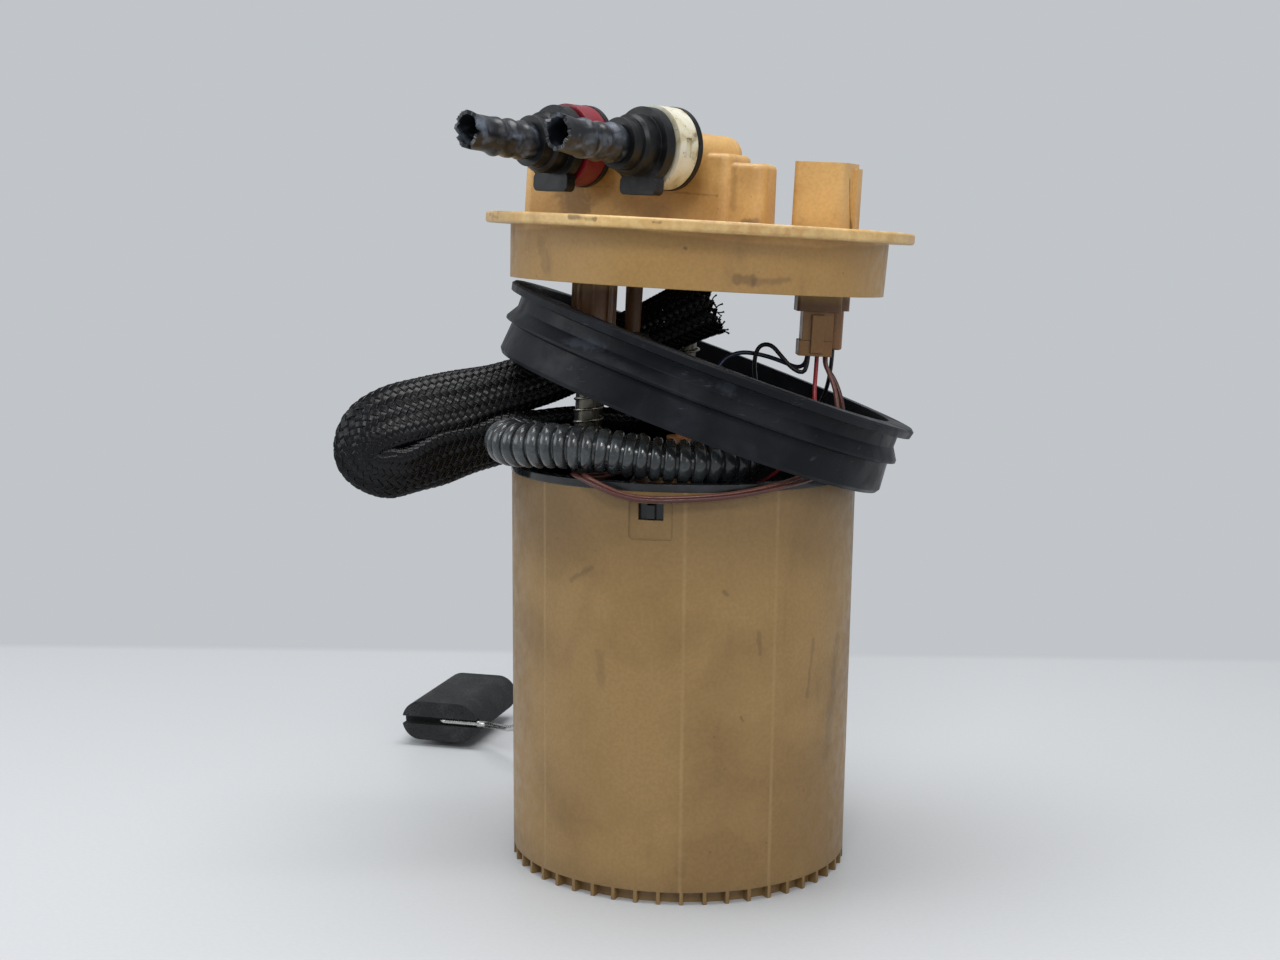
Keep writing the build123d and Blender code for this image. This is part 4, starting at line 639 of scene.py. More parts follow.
@dataclass(frozen=True)
class Metal(Finish):
    """Bare or plated metal with brush marks, handling dullness and spots of tarnish."""

    colour: Colour = tone(150, 148, 142)
    tarnish: Colour = tone(72, 62, 50)
    spots: float = 0.4
    roughness: float = 0.3
    brushed: Triple = (1.0, 1.0, 0.12)

    def paint(self, sheet: Sheet) -> None:
        """Lays the brush marks, the tarnish and the dull patches.

        Args:
            sheet: The material's node tree.
        """
        at = sheet.place()
        brush = sheet.noise(sheet.vector("MULTIPLY", at, self.brushed), 0.0006, 3.0)
        patch = sheet.noise(at, 0.006, 4.0, 0.5)
        fine = sheet.noise(at, 0.0012, 4.0)
        spot = patch.rise(0.48, 0.68) * fine.rise(0.4, 0.62, 0.3, 1.0) * self.spots
        colour = sheet.blend(spot, self.colour, self.tarnish)
        colour = sheet.blend(1.0, colour, brush.rise(0.3, 0.7, 0.86, 1.08), "MULTIPLY")
        matt = brush.rise(0.3, 0.7, self.roughness - 0.06, self.roughness + 0.1) + spot * 0.3
        sheet.shade(colour, matt, brush * 0.000012, metallic=1.0, rounding=0.0002)


@dataclass(frozen=True)
class SmokyHose(Finish):
    """Dark smoky polyamide with a hard shine, dusty in its grooves."""

    colour: Colour = tone(38, 41, 43)
    haze: Colour = tone(92, 98, 100)
    roughness: float = 0.17

    def paint(self, sheet: Sheet) -> None:
        """Lays the haze, the dust and the slight waviness under the shine.

        Args:
            sheet: The material's node tree.
        """
        at = sheet.place()
        patch = sheet.noise(at, 0.007, 4.0, 0.6)
        fine = sheet.noise(at, 0.0016, 4.0, 0.4)
        haze = patch.rise(0.36, 0.7) * fine.rise(0.3, 0.65, 0.4, 1.0)
        colour = sheet.blend(haze * 0.4, self.colour, self.haze)
        matt = fine.rise(0.35, 0.7, self.roughness, self.roughness + 0.16)
        sheet.shade(colour, matt, fine * 0.00004 + patch * 0.0001, coat=0.35)


@dataclass(frozen=True)
class Filament(Finish):
    """Black polyester filament, shiny along each strand."""

    colour: Colour = tone(9, 9, 12)
    grey: Colour = tone(38, 39, 44)
    roughness: float = 0.27
    shine: float = 0.26

    def paint(self, sheet: Sheet) -> None:
        """Lays the strand-to-strand difference, dust and shine.

        Args:
            sheet: The material's node tree.
        """
        at = sheet.place()
        patch = sheet.noise(at, 0.012, 4.0, 0.5)
        fine = sheet.noise(at, 0.0006, 3.0)
        dust = patch.rise(0.46, 0.7) * fine.rise(0.45, 0.62)
        colour = sheet.blend(dust * 0.5, self.colour, self.grey)
        matt = fine.rise(0.3, 0.7, self.roughness - 0.07, self.roughness + 0.12)
        sheet.shade(colour, matt, fine * 0.00002, shine=self.shine)


@dataclass(frozen=True)
class WireCoat(Finish):
    """Thin extruded wire insulation with a soft shine and wiped-on dirt."""

    colour: Colour = tone(20, 20, 22)
    roughness: float = 0.3

    def paint(self, sheet: Sheet) -> None:
        """Lays the extrusion's streaks and the dirt.

        Args:
            sheet: The material's node tree.
        """
        at = sheet.place()
        fine = sheet.noise(at, 0.0021, 4.0, 0.5)
        patch = sheet.noise(at, 0.009, 3.0)
        dark = tuple(c * 0.35 for c in self.colour[:3]) + (1.0,)
        dirt = patch.rise(0.45, 0.7) * fine.rise(0.35, 0.65) * 0.7
        colour = sheet.blend(dirt, self.colour, dark)
        matt = fine.rise(0.3, 0.7, self.roughness - 0.05, self.roughness + 0.15)
        sheet.shade(colour, matt, fine * 0.00003)


@dataclass(frozen=True)
class Cloth(Finish):
    """Woven filter cloth, with fuel residue in its weave."""

    colour: Colour = tone(196, 178, 138)
    residue: Colour = tone(112, 88, 54)
    pitch: float = 0.0006

    def paint(self, sheet: Sheet) -> None:
        """Lays the threads, their relief and the residue.

        Args:
            sheet: The material's node tree.
        """
        at = sheet.place()
        x, y, z = sheet.axes(at)
        turn = 2 * math.pi / self.pitch
        weave = ((x + z * 0.6) * turn).sine() * ((y - z * 0.6) * turn).sine()
        patch = sheet.noise(at, 0.014, 4.0, 0.5)
        colour = sheet.blend(patch.rise(0.38, 0.66, 0.15, 0.8), self.colour, self.residue)
        colour = sheet.blend(1.0, colour, weave.rise(-1.0, 1.0, 0.78, 1.06), "MULTIPLY")
        sheet.shade(colour, 0.7, weave * 0.00006)


@dataclass(frozen=True)
class Sintered(Finish):
    """Pressed and fired stock, such as ferrite or alumina, with a mineral grain."""

    colour: Colour = tone(48, 47, 48)
    fleck: Colour = tone(84, 82, 82)
    roughness: float = 0.55

    def paint(self, sheet: Sheet) -> None:
        """Lays the grain and its flecks.

        Args:
            sheet: The material's node tree.
        """
        at = sheet.place()
        grain = sheet.noise(at, 0.0009, 4.0)
        patch = sheet.noise(at, 0.01, 3.0)
        colour = sheet.blend(grain.rise(0.45, 0.7), self.colour, self.fleck)
        matt = patch.rise(0.3, 0.7, self.roughness - 0.1, self.roughness + 0.1)
        sheet.shade(colour, matt, grain * 0.00003)


# ---------------------------------------------------------------- marks on the mouldings
CUP_STROKES = (
    Stroke((-0.0355, -0.0445, 0.1015), (-0.0290, -0.0490, 0.1062), 0.0013, 0.34),
    Stroke((0.0395, -0.0410, 0.0640), (0.0412, -0.0392, 0.0820), 0.0011, 0.30),
    Stroke((0.0235, -0.0518, 0.0800), (0.0229, -0.0520, 0.0868), 0.0012, 0.30),
    Stroke((-0.0258, -0.0505, 0.0700), (-0.0262, -0.0503, 0.0792), 0.0024, 0.20),
    Stroke((0.0115, -0.0556, 0.1005), (0.0128, -0.0553, 0.0995), 0.0009, 0.40),
    Stroke((0.0178, -0.0540, 0.0605), (0.0184, -0.0538, 0.0592), 0.0008, 0.45),
    Stroke((0.0140, -0.0552, 0.1322), (0.0215, -0.0528, 0.1293), 0.0007, 0.50),
    Stroke((0.0465, -0.0310, 0.0420), (0.0492, -0.0270, 0.0800), 0.0034, 0.26),
    Stroke((-0.0002, -0.0566, 0.0110), (-0.0001, -0.0566, 0.0135), 0.0030, 0.16),
)
CAP_STROKES = (
    Stroke((-0.0399, 0.0042, 0.2261), (-0.0361, 0.0024, 0.2177), 0.0075, 0.42),
    Stroke((-0.0497, 0.0086, 0.2269), (-0.0377, 0.0033, 0.2272), 0.0006, 0.40),
    Stroke((-0.0496, 0.0085, 0.2241), (-0.0260, -0.0020, 0.2249), 0.0005, 0.35),
    # Painted shadow of the connectors: a broad, faint darkening across the housing.
    Stroke((-0.0240, -0.0030, 0.2220), (-0.0120, -0.0085, 0.2165), 0.0060, 0.20),
    Stroke((-0.0047, -0.0115, 0.2230), (0.0090, -0.0176, 0.2219), 0.0006, 0.40),
    # These two darken the step's right face and the foot of its right corner.
    Stroke((0.0262, -0.0225, 0.2265), (0.0254, -0.0227, 0.2145), 0.0030, 0.50),
    Stroke((0.0178, -0.0194, 0.2136), (0.0267, -0.0234, 0.2134), 0.0020, 0.55),
    Stroke((0.0145, -0.0176, 0.2316), (0.0142, -0.0178, 0.2175), 0.0016, 0.26),
    Stroke((-0.0363, -0.0573, 0.2141), (-0.0285, -0.0621, 0.2134), 0.0010, 0.60),
    Stroke((-0.0116, -0.0685, 0.2127), (-0.0095, -0.0689, 0.2126), 0.0008, 0.60),
    Stroke((0.0127, -0.0697, 0.2089), (0.0165, -0.0691, 0.2090), 0.0008, 0.60),
    Stroke((-0.0633, -0.0190, 0.2151), (-0.0600, -0.0283, 0.2139), 0.0008, 0.45),
    Stroke((-0.0465, -0.0362, 0.2066), (-0.0443, -0.0393, 0.1988), 0.0032, 0.24),
    Stroke((0.0139, -0.0610, 0.1960), (0.0182, -0.0601, 0.1958), 0.0024, 0.46),
    Stroke((0.0192, -0.0598, 0.1955), (0.0295, -0.0562, 0.1961), 0.0018, 0.34),
    Stroke((-0.0020, -0.0619, 0.2053), (-0.0018, -0.0619, 0.2052), 0.0008, 0.60),
    Stroke((0.0514, -0.0169, 0.2275), (0.0525, -0.0130, 0.2119), 0.0008, 0.70),
    Stroke((-0.0440, -0.0160, 0.2290), (-0.0300, -0.0250, 0.2300), 0.0007, 0.40),
)

CUP_SEAMS = tuple(math.radians(bearing) for bearing in (-90.6, -60.4, -141.0, 60.0))

CUP_ACETAL = AgedAcetal(
    "aged_acetal_cup",
    Slot.ACETAL,
    fresh=tone(145, 115, 69),
    tea=tone(128, 99, 56),
    soot=tone(62, 48, 32),
    pale=tone(190, 164, 118),
    grime=0.24,
    strokes=CUP_STROKES,
    parting_lines=CUP_SEAMS,
    # The first wash is painted shade under the rim, where the hose shades the cup, over some
    # staining; the second darkens the cup towards its foot.
    washes=(Wash(0.094, 0.124, tone(98, 76, 46), 0.55), Wash(0.012, 0.002, tone(98, 76, 50), 0.3)),
    roughness=0.44,
)
CAP_ACETAL = AgedAcetal(
    "aged_acetal_cap",
    Slot.ACETAL,
    fresh=tone(208, 168, 106),
    tea=tone(174, 132, 76),
    soot=tone(70, 48, 34),
    pale=tone(222, 196, 138),
    grime=0.5,
    strokes=CAP_STROKES,
    # Painted shade: the first wash darkens the skirt under the flange, with some of its own deeper
    # amber; the second darkens the posts below the skirt, in the cap's shade.
    washes=(
        Wash(0.2102, 0.2090, tone(152, 118, 66), 0.85),
        Wash(0.1925, 0.1890, tone(96, 58, 32), 0.85),
    ),
    # Painted highlight along the flange's edge.
    pale_band=(0.20985, 0.21345),
    roughness=0.4,
)
# The retainer is the cap's cream acetal; its darker, redder tone is partly its stain and partly
# painted shade from deep inside the reservoir.
INNER_ACETAL = AgedAcetal(
    "aged_acetal_inner",
    Slot.ACETAL_INNER,
    fresh=tone(178, 128, 78),
    tea=tone(132, 84, 48),
    soot=tone(44, 28, 20),
    pale=tone(200, 160, 110),
    grime=0.7,
    roughness=0.34,
)
PLUG_ACETAL = AgedAcetal(
    "aged_acetal_plug",
    Slot.ACETAL,
    fresh=tone(160, 118, 66),
    tea=tone(126, 86, 46),
    soot=tone(60, 42, 28),
    pale=tone(220, 190, 130),
    grime=0.6,
    roughness=0.36,
)
GLOSS_BLACK = Moulded(
    "gloss_black",
    Slot.BLACK_PLASTIC,
    tone(14, 15, 18),
    tone(58, 62, 70),
    dust=0.3,
    roughness=0.2,
    smear=0.016,
    coat=0.25,
)
CONNECTOR_BLACK = Moulded(
    "connector_black",
    Slot.BLACK_PLASTIC,
    tone(14, 15, 17),
    tone(60, 66, 76),
    dust=0.45,
    roughness=0.36,
    smear=0.011,
    shine=0.3,
)
PUMP_BLACK = Moulded(
    "pump_black",
    Slot.BLACK_PLASTIC,
    tone(24, 24, 26),
    tone(66, 66, 66),
    dust=0.4,
    roughness=0.36,
)
HOUSING_BLACK = Moulded(
    "housing_black",
    Slot.BLACK_PLASTIC,
    tone(34, 34, 36),
    tone(84, 84, 86),
    dust=0.45,
    roughness=0.42,
)
COLLAR_WHITE = Grimy("collar_white", Slot.WHITE_PLASTIC)
PLUG_WHITE = Grimy("plug_white", Slot.WHITE_PLASTIC, tone(196, 184, 150), tone(80, 66, 46), 0.6)
COLLAR_RED = Moulded(
    "collar_red",
    Slot.RED_PLASTIC,
    tone(120, 18, 34),
    tone(70, 26, 34),
    dust=0.7,
    roughness=0.36,
    smear=0.006,
)
SEAL_RUBBER = Rubber(
    "seal_rubber",
    Slot.RUBBER,
    # The first two strokes are a painted highlight along the seal's neck; the third is a short pale
    # streak further right.
    strokes=(
        Stroke((-0.0420, -0.0500, 0.1790), (0.0120, -0.0660, 0.1640), 0.0030, 0.45),
        Stroke((-0.0600, -0.0280, 0.1850), (-0.0440, -0.0480, 0.1800), 0.0022, 0.35),
        Stroke((0.0300, -0.0640, 0.1560), (0.0420, -0.0590, 0.1500), 0.0014, 0.35),
    ),
)
FOOT_RUBBER = Rubber("foot_rubber", Slot.RUBBER, tone(30, 30, 31), tone(70, 70, 70))
FLOAT_FOAM = Foam("float_foam", Slot.FOAM)
ROD_STEEL = Metal("rod_steel", Slot.STEEL, tone(112, 108, 98), tone(56, 44, 32), 0.6, 0.3)
WIRE_STEEL = Metal("wire_steel", Slot.STEEL, tone(196, 196, 192), tone(120, 112, 98), 0.25, 0.22)
SPRING_STEEL = Metal("spring_steel", Slot.STEEL, tone(150, 148, 140), tone(60, 52, 42), 0.45, 0.26)
CAN_ZINC = Metal("can_zinc", Slot.ZINC, tone(172, 172, 168), tone(110, 106, 96), 0.4, 0.3)
PIN_BRASS = Metal("pin_brass", Slot.BRASS, tone(198, 168, 96), tone(110, 80, 44), 0.35, 0.3)
CORE_IRON = Metal(
    "core_iron",
    Slot.IRON,
    tone(120, 118, 114),
    tone(74, 60, 48),
    spots=0.4,
    roughness=0.42,
    brushed=(1.0, 1.0, 4.0),
)
MAGNET_FERRITE = Sintered("magnet_ferrite", Slot.FERRITE)
CARD_CERAMIC = Sintered("card_ceramic", Slot.CERAMIC, tone(212, 208, 196), tone(190, 184, 168), 0.4)
FILTER_CLOTH = Cloth("filter_cloth", Slot.FILTER)
HOSE_SMOKY = SmokyHose("hose_smoky", Slot.HOSE)
HOSE_SMOOTH = SmokyHose("hose_smooth", Slot.HOSE, tone(26, 27, 28), tone(70, 72, 74), 0.26)
TUBE_BLACK = Moulded(
    "tube_black",
    Slot.TUBE,
    tone(18, 20, 24),
    tone(98, 107, 122),
    dust=0.85,
    roughness=0.36,
    smear=0.0055,
    rounding=0.0,
)
BRAID_BLACK = Filament("braid_black", Slot.BRAID)
COAT_BLACK = WireCoat("coat_black", Slot.WIRE_BLACK, tone(16, 17, 20))
COAT_BLUE = WireCoat("coat_blue", Slot.WIRE_BLUE, tone(26, 36, 66))
COAT_RED = WireCoat("coat_red", Slot.WIRE_RED, tone(150, 22, 32))
COAT_BROWN = WireCoat("coat_brown", Slot.WIRE_BROWN, tone(104, 62, 50))
COAT_MAROON = WireCoat("coat_maroon", Slot.WIRE_BROWN, tone(74, 34, 30))


# ---------------------------------------------------------------- mesh toolkit
def placed(name: str, data: bpy.types.ID) -> bpy.types.Object:
    """Puts new data into the scene as an object.

    Args:
        name: The object's name.
        data: Its mesh, curve, lamp or camera.

    Returns:
        The object.
    """
    made = bpy.data.objects.new(name, data)
    bpy.context.scene.collection.objects.link(made)
    return made


def circle(count: int) -> list[float]:
    """Even angles once round, as many as count."""
    return [2 * math.pi * i / count for i in range(count)]


def heading(line: Sequence[Vector], index: int) -> Vector:
    """The way that a line of points runs at one of them."""
    return (line[min(index + 1, len(line) - 1)] - line[max(index - 1, 0)]).normalized()


def hump(distance: float, reach: float) -> float:
    """A bell curve that is 1 at no distance."""
    return math.exp(-((distance / reach) ** 2))


def fading(distance: float, reach: float) -> float:
    """A value that falls from 1 as the distance grows."""
    return math.exp(-distance / reach)


def spaced(length: float, step: float) -> list[float]:
    """Distances from 0 to a length, evenly spaced and no further apart than a step."""
    count = max(2, math.ceil(length / step))
    return [length * i / count for i in range(count + 1)]


@dataclass(frozen=True)
class Station:
    """One place on a route: where it is, which way it runs, and the two directions across it."""

    at: Vector
    along: Vector
    side: Vector
    over: Vector

    @classmethod
    def on_axis(cls, at: Vector, along: Vector) -> Station:
        """A place on an axis, with any two directions across it."""
        side = along.orthogonal().normalized()
        return cls(at, along, side, along.cross(side))

    def around(self, angle: float, radius: float) -> Vector:
        """The point at an angle round the route, a radius away."""
        return self.at + (self.side * math.cos(angle) + self.over * math.sin(angle)) * radius

    def ring(self, radius: float, sides: int) -> list[Vector]:
        """The corners of a round section here."""
        return [self.around(angle, radius) for angle in circle(sides)]


class Shell:
    """Points and faces gathered into one mesh."""

    def __init__(self) -> None:
        """Starts an empty mesh."""
        self.points: list[Vector] = []
        self.faces: list[tuple[int, ...]] = []

    def row(self, points: Iterable[Vector]) -> list[int]:
        """Adds a row of points.

        Args:
            points: The points in their order.

        Returns:
            Their numbers in the mesh.
        """
        first = len(self.points)
        self.points.extend(points)
        return list(range(first, len(self.points)))

    def join(self, rows: Sequence[list[int]], closed: bool = True) -> None:
        """Joins each row to the next with quads.

        Args:
            rows: The numbers of the rows' points, as many in each.
            closed: Whether the rows are rings.
        """
        for first, second in pairwise(rows):
            count = len(first)
            for i in range(count if closed else count - 1):
                j = (i + 1) % count
                self.faces.append((first[i], first[j], second[j], second[i]))

    def lid(self, ring: list[int], turned: bool = False) -> None:
        """Closes a ring with one face."""
        self.faces.append(tuple(reversed(ring)) if turned else tuple(ring))

    def tube(self, rings: Sequence[list[int]]) -> None:
        """Joins rings into a tube and closes both its ends.

        Args:
            rings: The numbers of the rings' points, from one end to the other.
        """
        self.join(rings)
        self.lid(rings[0], turned=True)
        self.lid(rings[-1])

    def piece(self, name: str, finish: Finish, sharp: float | None = None) -> bpy.types.Object:
        """Makes the object.

        Args:
            name: The piece's name.
            finish: Its finish.
            sharp: The angle in degrees from which an edge stays sharp, if any does.

        Returns:
            The new object, in its finish.
        """
        mesh = bpy.data.meshes.new(name)
        mesh.from_pydata([tuple(p) for p in self.points], [], self.faces)
        mesh.validate()
        mesh.shade_smooth()
        if sharp is not None:
            mesh.set_sharp_from_angle(angle=math.radians(sharp))
        piece = placed(name, mesh)
        mesh.materials.append(finish.material())
        return piece


@dataclass
class Route:
    """The centreline of a cord: a smooth spline with the route's points as its control points."""

    name: str
    points: Track
    hint: Triple = UP  # a direction across the route at its start
    told_steps: int = 240
    line: list[Vector] = field(default_factory=list, init=False)
    runs: list[float] = field(default_factory=list, init=False)
    frames: list[tuple[Vector, Vector]] = field(default_factory=list, init=False)

    def __post_init__(self) -> None:
        """Reads the spline and carries a frame along it."""
        self.line = self._read()
        self.runs = [0.0]
        for before, here in pairwise(self.line):
            self.runs.append(self.runs[-1] + (here - before).length)
        side = Vector(self.hint)
        for i in range(len(self.line)):
            along = heading(self.line, i)
            side = (side - along * side.dot(along)).normalized()
            self.frames.append((along, side.copy()))

    def _read(self) -> list[Vector]:
        """Makes the spline, reads its points as Blender gives them, and removes it.

        Returns:
            The points of the smooth line.
        """
        curve = bpy.data.curves.new(self.name + "_route", "CURVE")
        curve.dimensions = "3D"
        spline = curve.splines.new("NURBS")
        spline.points.add(len(self.points) - 1)
        for held, point in zip(spline.points, self.points, strict=True):
            held.co = (*point, 1.0)
        spline.order_u = 3
        spline.use_endpoint_u = True
        spline.resolution_u = 12
        carrier = placed(self.name + "_route", curve)
        mesh = bpy.data.meshes.new_from_object(carrier)
        line = [v.co.copy() for v in mesh.vertices]
        bpy.data.objects.remove(carrier)
        bpy.data.curves.remove(curve)
        bpy.data.meshes.remove(mesh)
        return line

    @property
    def length(self) -> float:
        """The spline's length."""
        return self.runs[-1]

    def station(self, run: float) -> Station:
        """The place at a distance along the route.

        Args:
            run: The distance from the route's start, held to its length.

        Returns:
            The place, with the directions along and across the route.
        """
        run = min(max(run, 0.0), self.length)
        low, high = 0, len(self.runs) - 1
        while high - low > 1:
            middle = (low + high) // 2
            low, high = (middle, high) if self.runs[middle] <= run else (low, middle)
        span = self.runs[high] - self.runs[low]
        share = (run - self.runs[low]) / span if span else 0.0
        at = self.line[low].lerp(self.line[high], share)
        along = self.frames[low][0].lerp(self.frames[high][0], share).normalized()
        side = self.frames[low][1].lerp(self.frames[high][1], share)
        side = (side - along * side.dot(along)).normalized()
        return Station(at, along, side, along.cross(side))

    def sweep(self, profile: Iterable[Pair], sides: int) -> Shell:
        """Sweeps a round section along the route.

        Args:
            profile: Pairs of a distance along the route and the section's radius there.
            sides: How many points go round it.

        Returns:
            The closed tube.
        """
        shell = Shell()
        shell.tube([shell.row(self.station(run).ring(radius, sides)) for run, radius in profile])
        return shell

    def told(self) -> list[Vector]:
        """The points that a piece on this route follows."""
        steps = self.told_steps
        return [self.station(self.length * i / steps).at for i in range(steps + 1)]


def turned(axis: Station, profile: Sequence[Pair], sides: int) -> Shell:
    """Turns a profile about an axis.

    Args:
        axis: Where the axis starts and which way it points.
        profile: Pairs of distance along the axis and radius.
        sides: How many points go round.

    Returns:
        The open surface of revolution.
    """
    shell = Shell()
    places = [replace(axis, at=axis.at + axis.along * run) for run, _ in profile]
    rings = [place.ring(radius, sides) for place, (_, radius) in zip(places, profile, strict=True)]
    shell.join([shell.row(ring) for ring in rings])
    return shell


# ---------------------------------------------------------------- cords
ROUTES: dict[str, Track] = {
    "supply_hose": (
        (-0.011968, -0.004907, 0.1376), (-0.023939, -0.005744, 0.1376), (-0.0380, -0.0062, 0.1388),
        (-0.0490, -0.0094, 0.1412), (-0.0572, -0.0176, 0.1428), (-0.0582, -0.0282, 0.1428),
        (-0.0516, -0.0372, 0.1428), (-0.0400, -0.0428, 0.1437), (-0.0265, -0.0460, 0.1427),
        (-0.0125, -0.0470, 0.1404), (-0.0010, -0.0472, 0.1394), (0.0082, -0.0448, 0.1390),
        (0.0150, -0.0400, 0.1386), (0.0186, -0.0320, 0.1392), (0.0192, -0.0225, 0.1400),
        (0.0188, -0.0125, 0.1412), (0.0176, -0.0030, 0.1432), (0.0116, 0.0056, 0.1458),
        (0.0010, 0.0112, 0.1482), (-0.0094, 0.0128, 0.1520), (-0.018937, 0.0146, 0.159538),
        (-0.018069, 0.0146, 0.170511), (-0.017814, 0.0146, 0.176505),
    ),
    "return_hose": (
        (-0.030547, 0.0080, 0.183053), (-0.031398, 0.0080, 0.163072), (-0.0330, 0.0088, 0.1370),
        (-0.0343, 0.0086, 0.1040), (-0.0345, 0.0085, 0.0660), (-0.0340, 0.0084, 0.0412),
        (-0.0340, 0.0084, 0.0212),
    ),
    "braided_sleeve": (
        (0.0100, 0.0270, 0.1870), (-0.0030, 0.0285, 0.1805), (-0.0170, 0.0300, 0.1740),
        (-0.0310, 0.0272, 0.1674), (-0.0440, 0.0235, 0.1616), (-0.0580, 0.0200, 0.1570),
        (-0.0730, 0.0160, 0.1530), (-0.0880, 0.0120, 0.1499), (-0.1005, 0.0095, 0.1468),
        (-0.1088, 0.0085, 0.1410), (-0.1104, 0.0080, 0.1326), (-0.1054, 0.0085, 0.1258),
        (-0.0966, 0.0100, 0.1242), (-0.0830, 0.0135, 0.1296), (-0.0665, 0.0180, 0.1380),
        (-0.0500, 0.0210, 0.1430), (-0.0330, 0.0235, 0.1446), (-0.0150, 0.0250, 0.1440),
        (0.0000, 0.0262, 0.1414), (0.0105, 0.0274, 0.1350), (0.0152, 0.0282, 0.1250),
        (0.0166, 0.0286, 0.1145),
    ),
    "wire_red": (
        (0.042695, -0.0130, 0.170724), (0.042461, -0.0130, 0.165229), (0.0418, -0.0154, 0.1575),
        (0.0426, -0.0206, 0.1488), (0.0412, -0.0276, 0.1418), (0.0366, -0.0324, 0.1382),
        (0.0306, -0.0346, 0.1364), (0.0252, -0.0344, 0.1322), (0.0194, -0.0324, 0.1300),
        (0.0122, -0.0290, 0.1300), (0.0056, -0.0236, 0.1318), (0.0018, -0.0176, 0.1332),
        (-0.00005, -0.0140, 0.1338), (-0.00285, -0.0140, 0.1338),
    ),
    "wire_brown": (
        (0.045592, -0.0130, 0.170601), (0.045481, -0.0130, 0.168003), (0.0466, -0.0136, 0.1654),
        (0.0489, -0.0156, 0.1596), (0.0495, -0.0206, 0.1500), (0.0470, -0.0294, 0.1420),
        (0.0430, -0.0386, 0.1374), (0.0372, -0.0456, 0.1358), (0.03003, -0.051597, 0.1339),
        (0.016969, -0.057655, 0.1315), (0.003755, -0.059682, 0.1302), (-0.011421, -0.05931, 0.1295),
        (-0.0195, -0.056954, 0.1303), (-0.026346, -0.054018, 0.1328), (-0.0310, -0.0500, 0.1349),
        (-0.0328, -0.0424, 0.1347), (-0.0316, -0.0350, 0.1326), (-0.0266, -0.0270, 0.1316),
        (-0.0194, -0.0196, 0.1334), (-0.01495, -0.0140, 0.1338), (-0.01035, -0.0140, 0.1338),
    ),
    "wire_maroon": (
        (0.045592, -0.0101, 0.170601), (0.045447, -0.0101, 0.167204), (0.0484, -0.0116, 0.1640),
        (0.0510, -0.0136, 0.1574), (0.0516, -0.0196, 0.1484), (0.0490, -0.0288, 0.1404),
        (0.0446, -0.0386, 0.1359), (0.0382, -0.0464, 0.1342), (0.030986, -0.053239, 0.1332),
        (0.017505, -0.059477, 0.1310), (0.003874, -0.061578, 0.1297),
        (-0.011781, -0.061176, 0.1290), (-0.020148, -0.058847, 0.1298),
        (-0.027223, -0.055815, 0.1323), (-0.0340, -0.0494, 0.1349), (-0.0364, -0.0404, 0.1347),
        (-0.0326, -0.0276, 0.1324), (-0.0230, -0.0166, 0.1320), (-0.01575, -0.0120, 0.1326),
        (-0.01035, -0.0120, 0.1326),
    ),
    "wire_black": (
        (0.039797, -0.0130, 0.170848), (0.039695, -0.0130, 0.16845), (0.0386, -0.0130, 0.1648),
        (0.0348, -0.0126, 0.1664), (0.0312, -0.0118, 0.1704), (0.0278, -0.0106, 0.1744),
        (0.0238, -0.0094, 0.1738), (0.0224, -0.0082, 0.1684), (0.0236, -0.0044, 0.1600),
        (0.0272, 0.0020, 0.1474), (0.0300, 0.0084, 0.1336), (0.0310, 0.0120, 0.1180),
        (0.0306, 0.0136, 0.1010),
    ),
    "wire_blue": (
        (0.039797, -0.0101, 0.170848), (0.039687, -0.0101, 0.16825), (0.0370, -0.0080, 0.1662),
        (0.0316, -0.0072, 0.1686), (0.0250, -0.0062, 0.1706), (0.0176, -0.0074, 0.1716),
        (0.0110, -0.0090, 0.1684), (0.0078, -0.0130, 0.1594), (0.0060, -0.0186, 0.1490),
        (0.0010, -0.0218, 0.1402), (-0.0044, -0.0224, 0.1350), (-0.0066, -0.0204, 0.1338),
        (-0.0066, -0.0170, 0.1338),
    ),
    "wire_sender": (
        (0.050039, 0.0090, 0.171612), (0.049762, 0.0090, 0.165118), (0.0484, 0.0140, 0.1556),
        (0.0444, 0.0256, 0.1462), (0.0376, 0.0380, 0.1398), (0.0304, 0.0500, 0.1368),
        (0.022445, 0.059435, 0.1304), (0.016598, 0.062439, 0.1204), (0.015169, 0.060838, 0.1120),
        (0.015169, 0.060838, 0.1040),
    ),
}


@dataclass
class Cord:
    """A hose, sleeve or wire, which runs along its route between the reservoir and the cap.

    It takes the place of the plain cord of the frame.
    """

    node: str
    finish: Finish
    radius: float = 0.8 * MM
    bend: Pair = (0.1300, 0.1705)
    stiffness: Stiffness = Stiffness.MEDIUM
    lay: Lay = Lay.LOOSE
    far_end: FarEnd = FarEnd.OBJECT
    hint: Triple = UP
    route: Route = field(init=False)

    def __post_init__(self) -> None:
        """Sets the cord's route."""
        self.route = Route(self.node, ROUTES[self.node], self.hint)

    def declared(self, *pieces: bpy.types.Object) -> bpy.types.Object:
        """Args:
            pieces: The cord's main piece and the smaller pieces on it.

        Returns:
            The main piece.
        """
        for piece in pieces:
            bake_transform(piece)
        main_piece, *smaller = pieces
        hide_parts(self.node)
        self.route.told()
        return main_piece


@dataclass
class SmoothCord(Cord):
    """A cord with a plain round skin."""

    skin: float = 0.72 * MM
    step: float = 1.0 * MM
    sides: int = 12
    surface: str = "insulated"

    def build(self) -> bpy.types.Object:
        """Builds the cord.

        Returns:
            Its piece.
        """
        profile = [(run, self.skin) for run in spaced(self.route.length, self.step)]
        shell = self.route.sweep(profile, self.sides)
        return self.declared(shell.piece(f"{self.node}_{self.surface}", self.finish, CREASE))


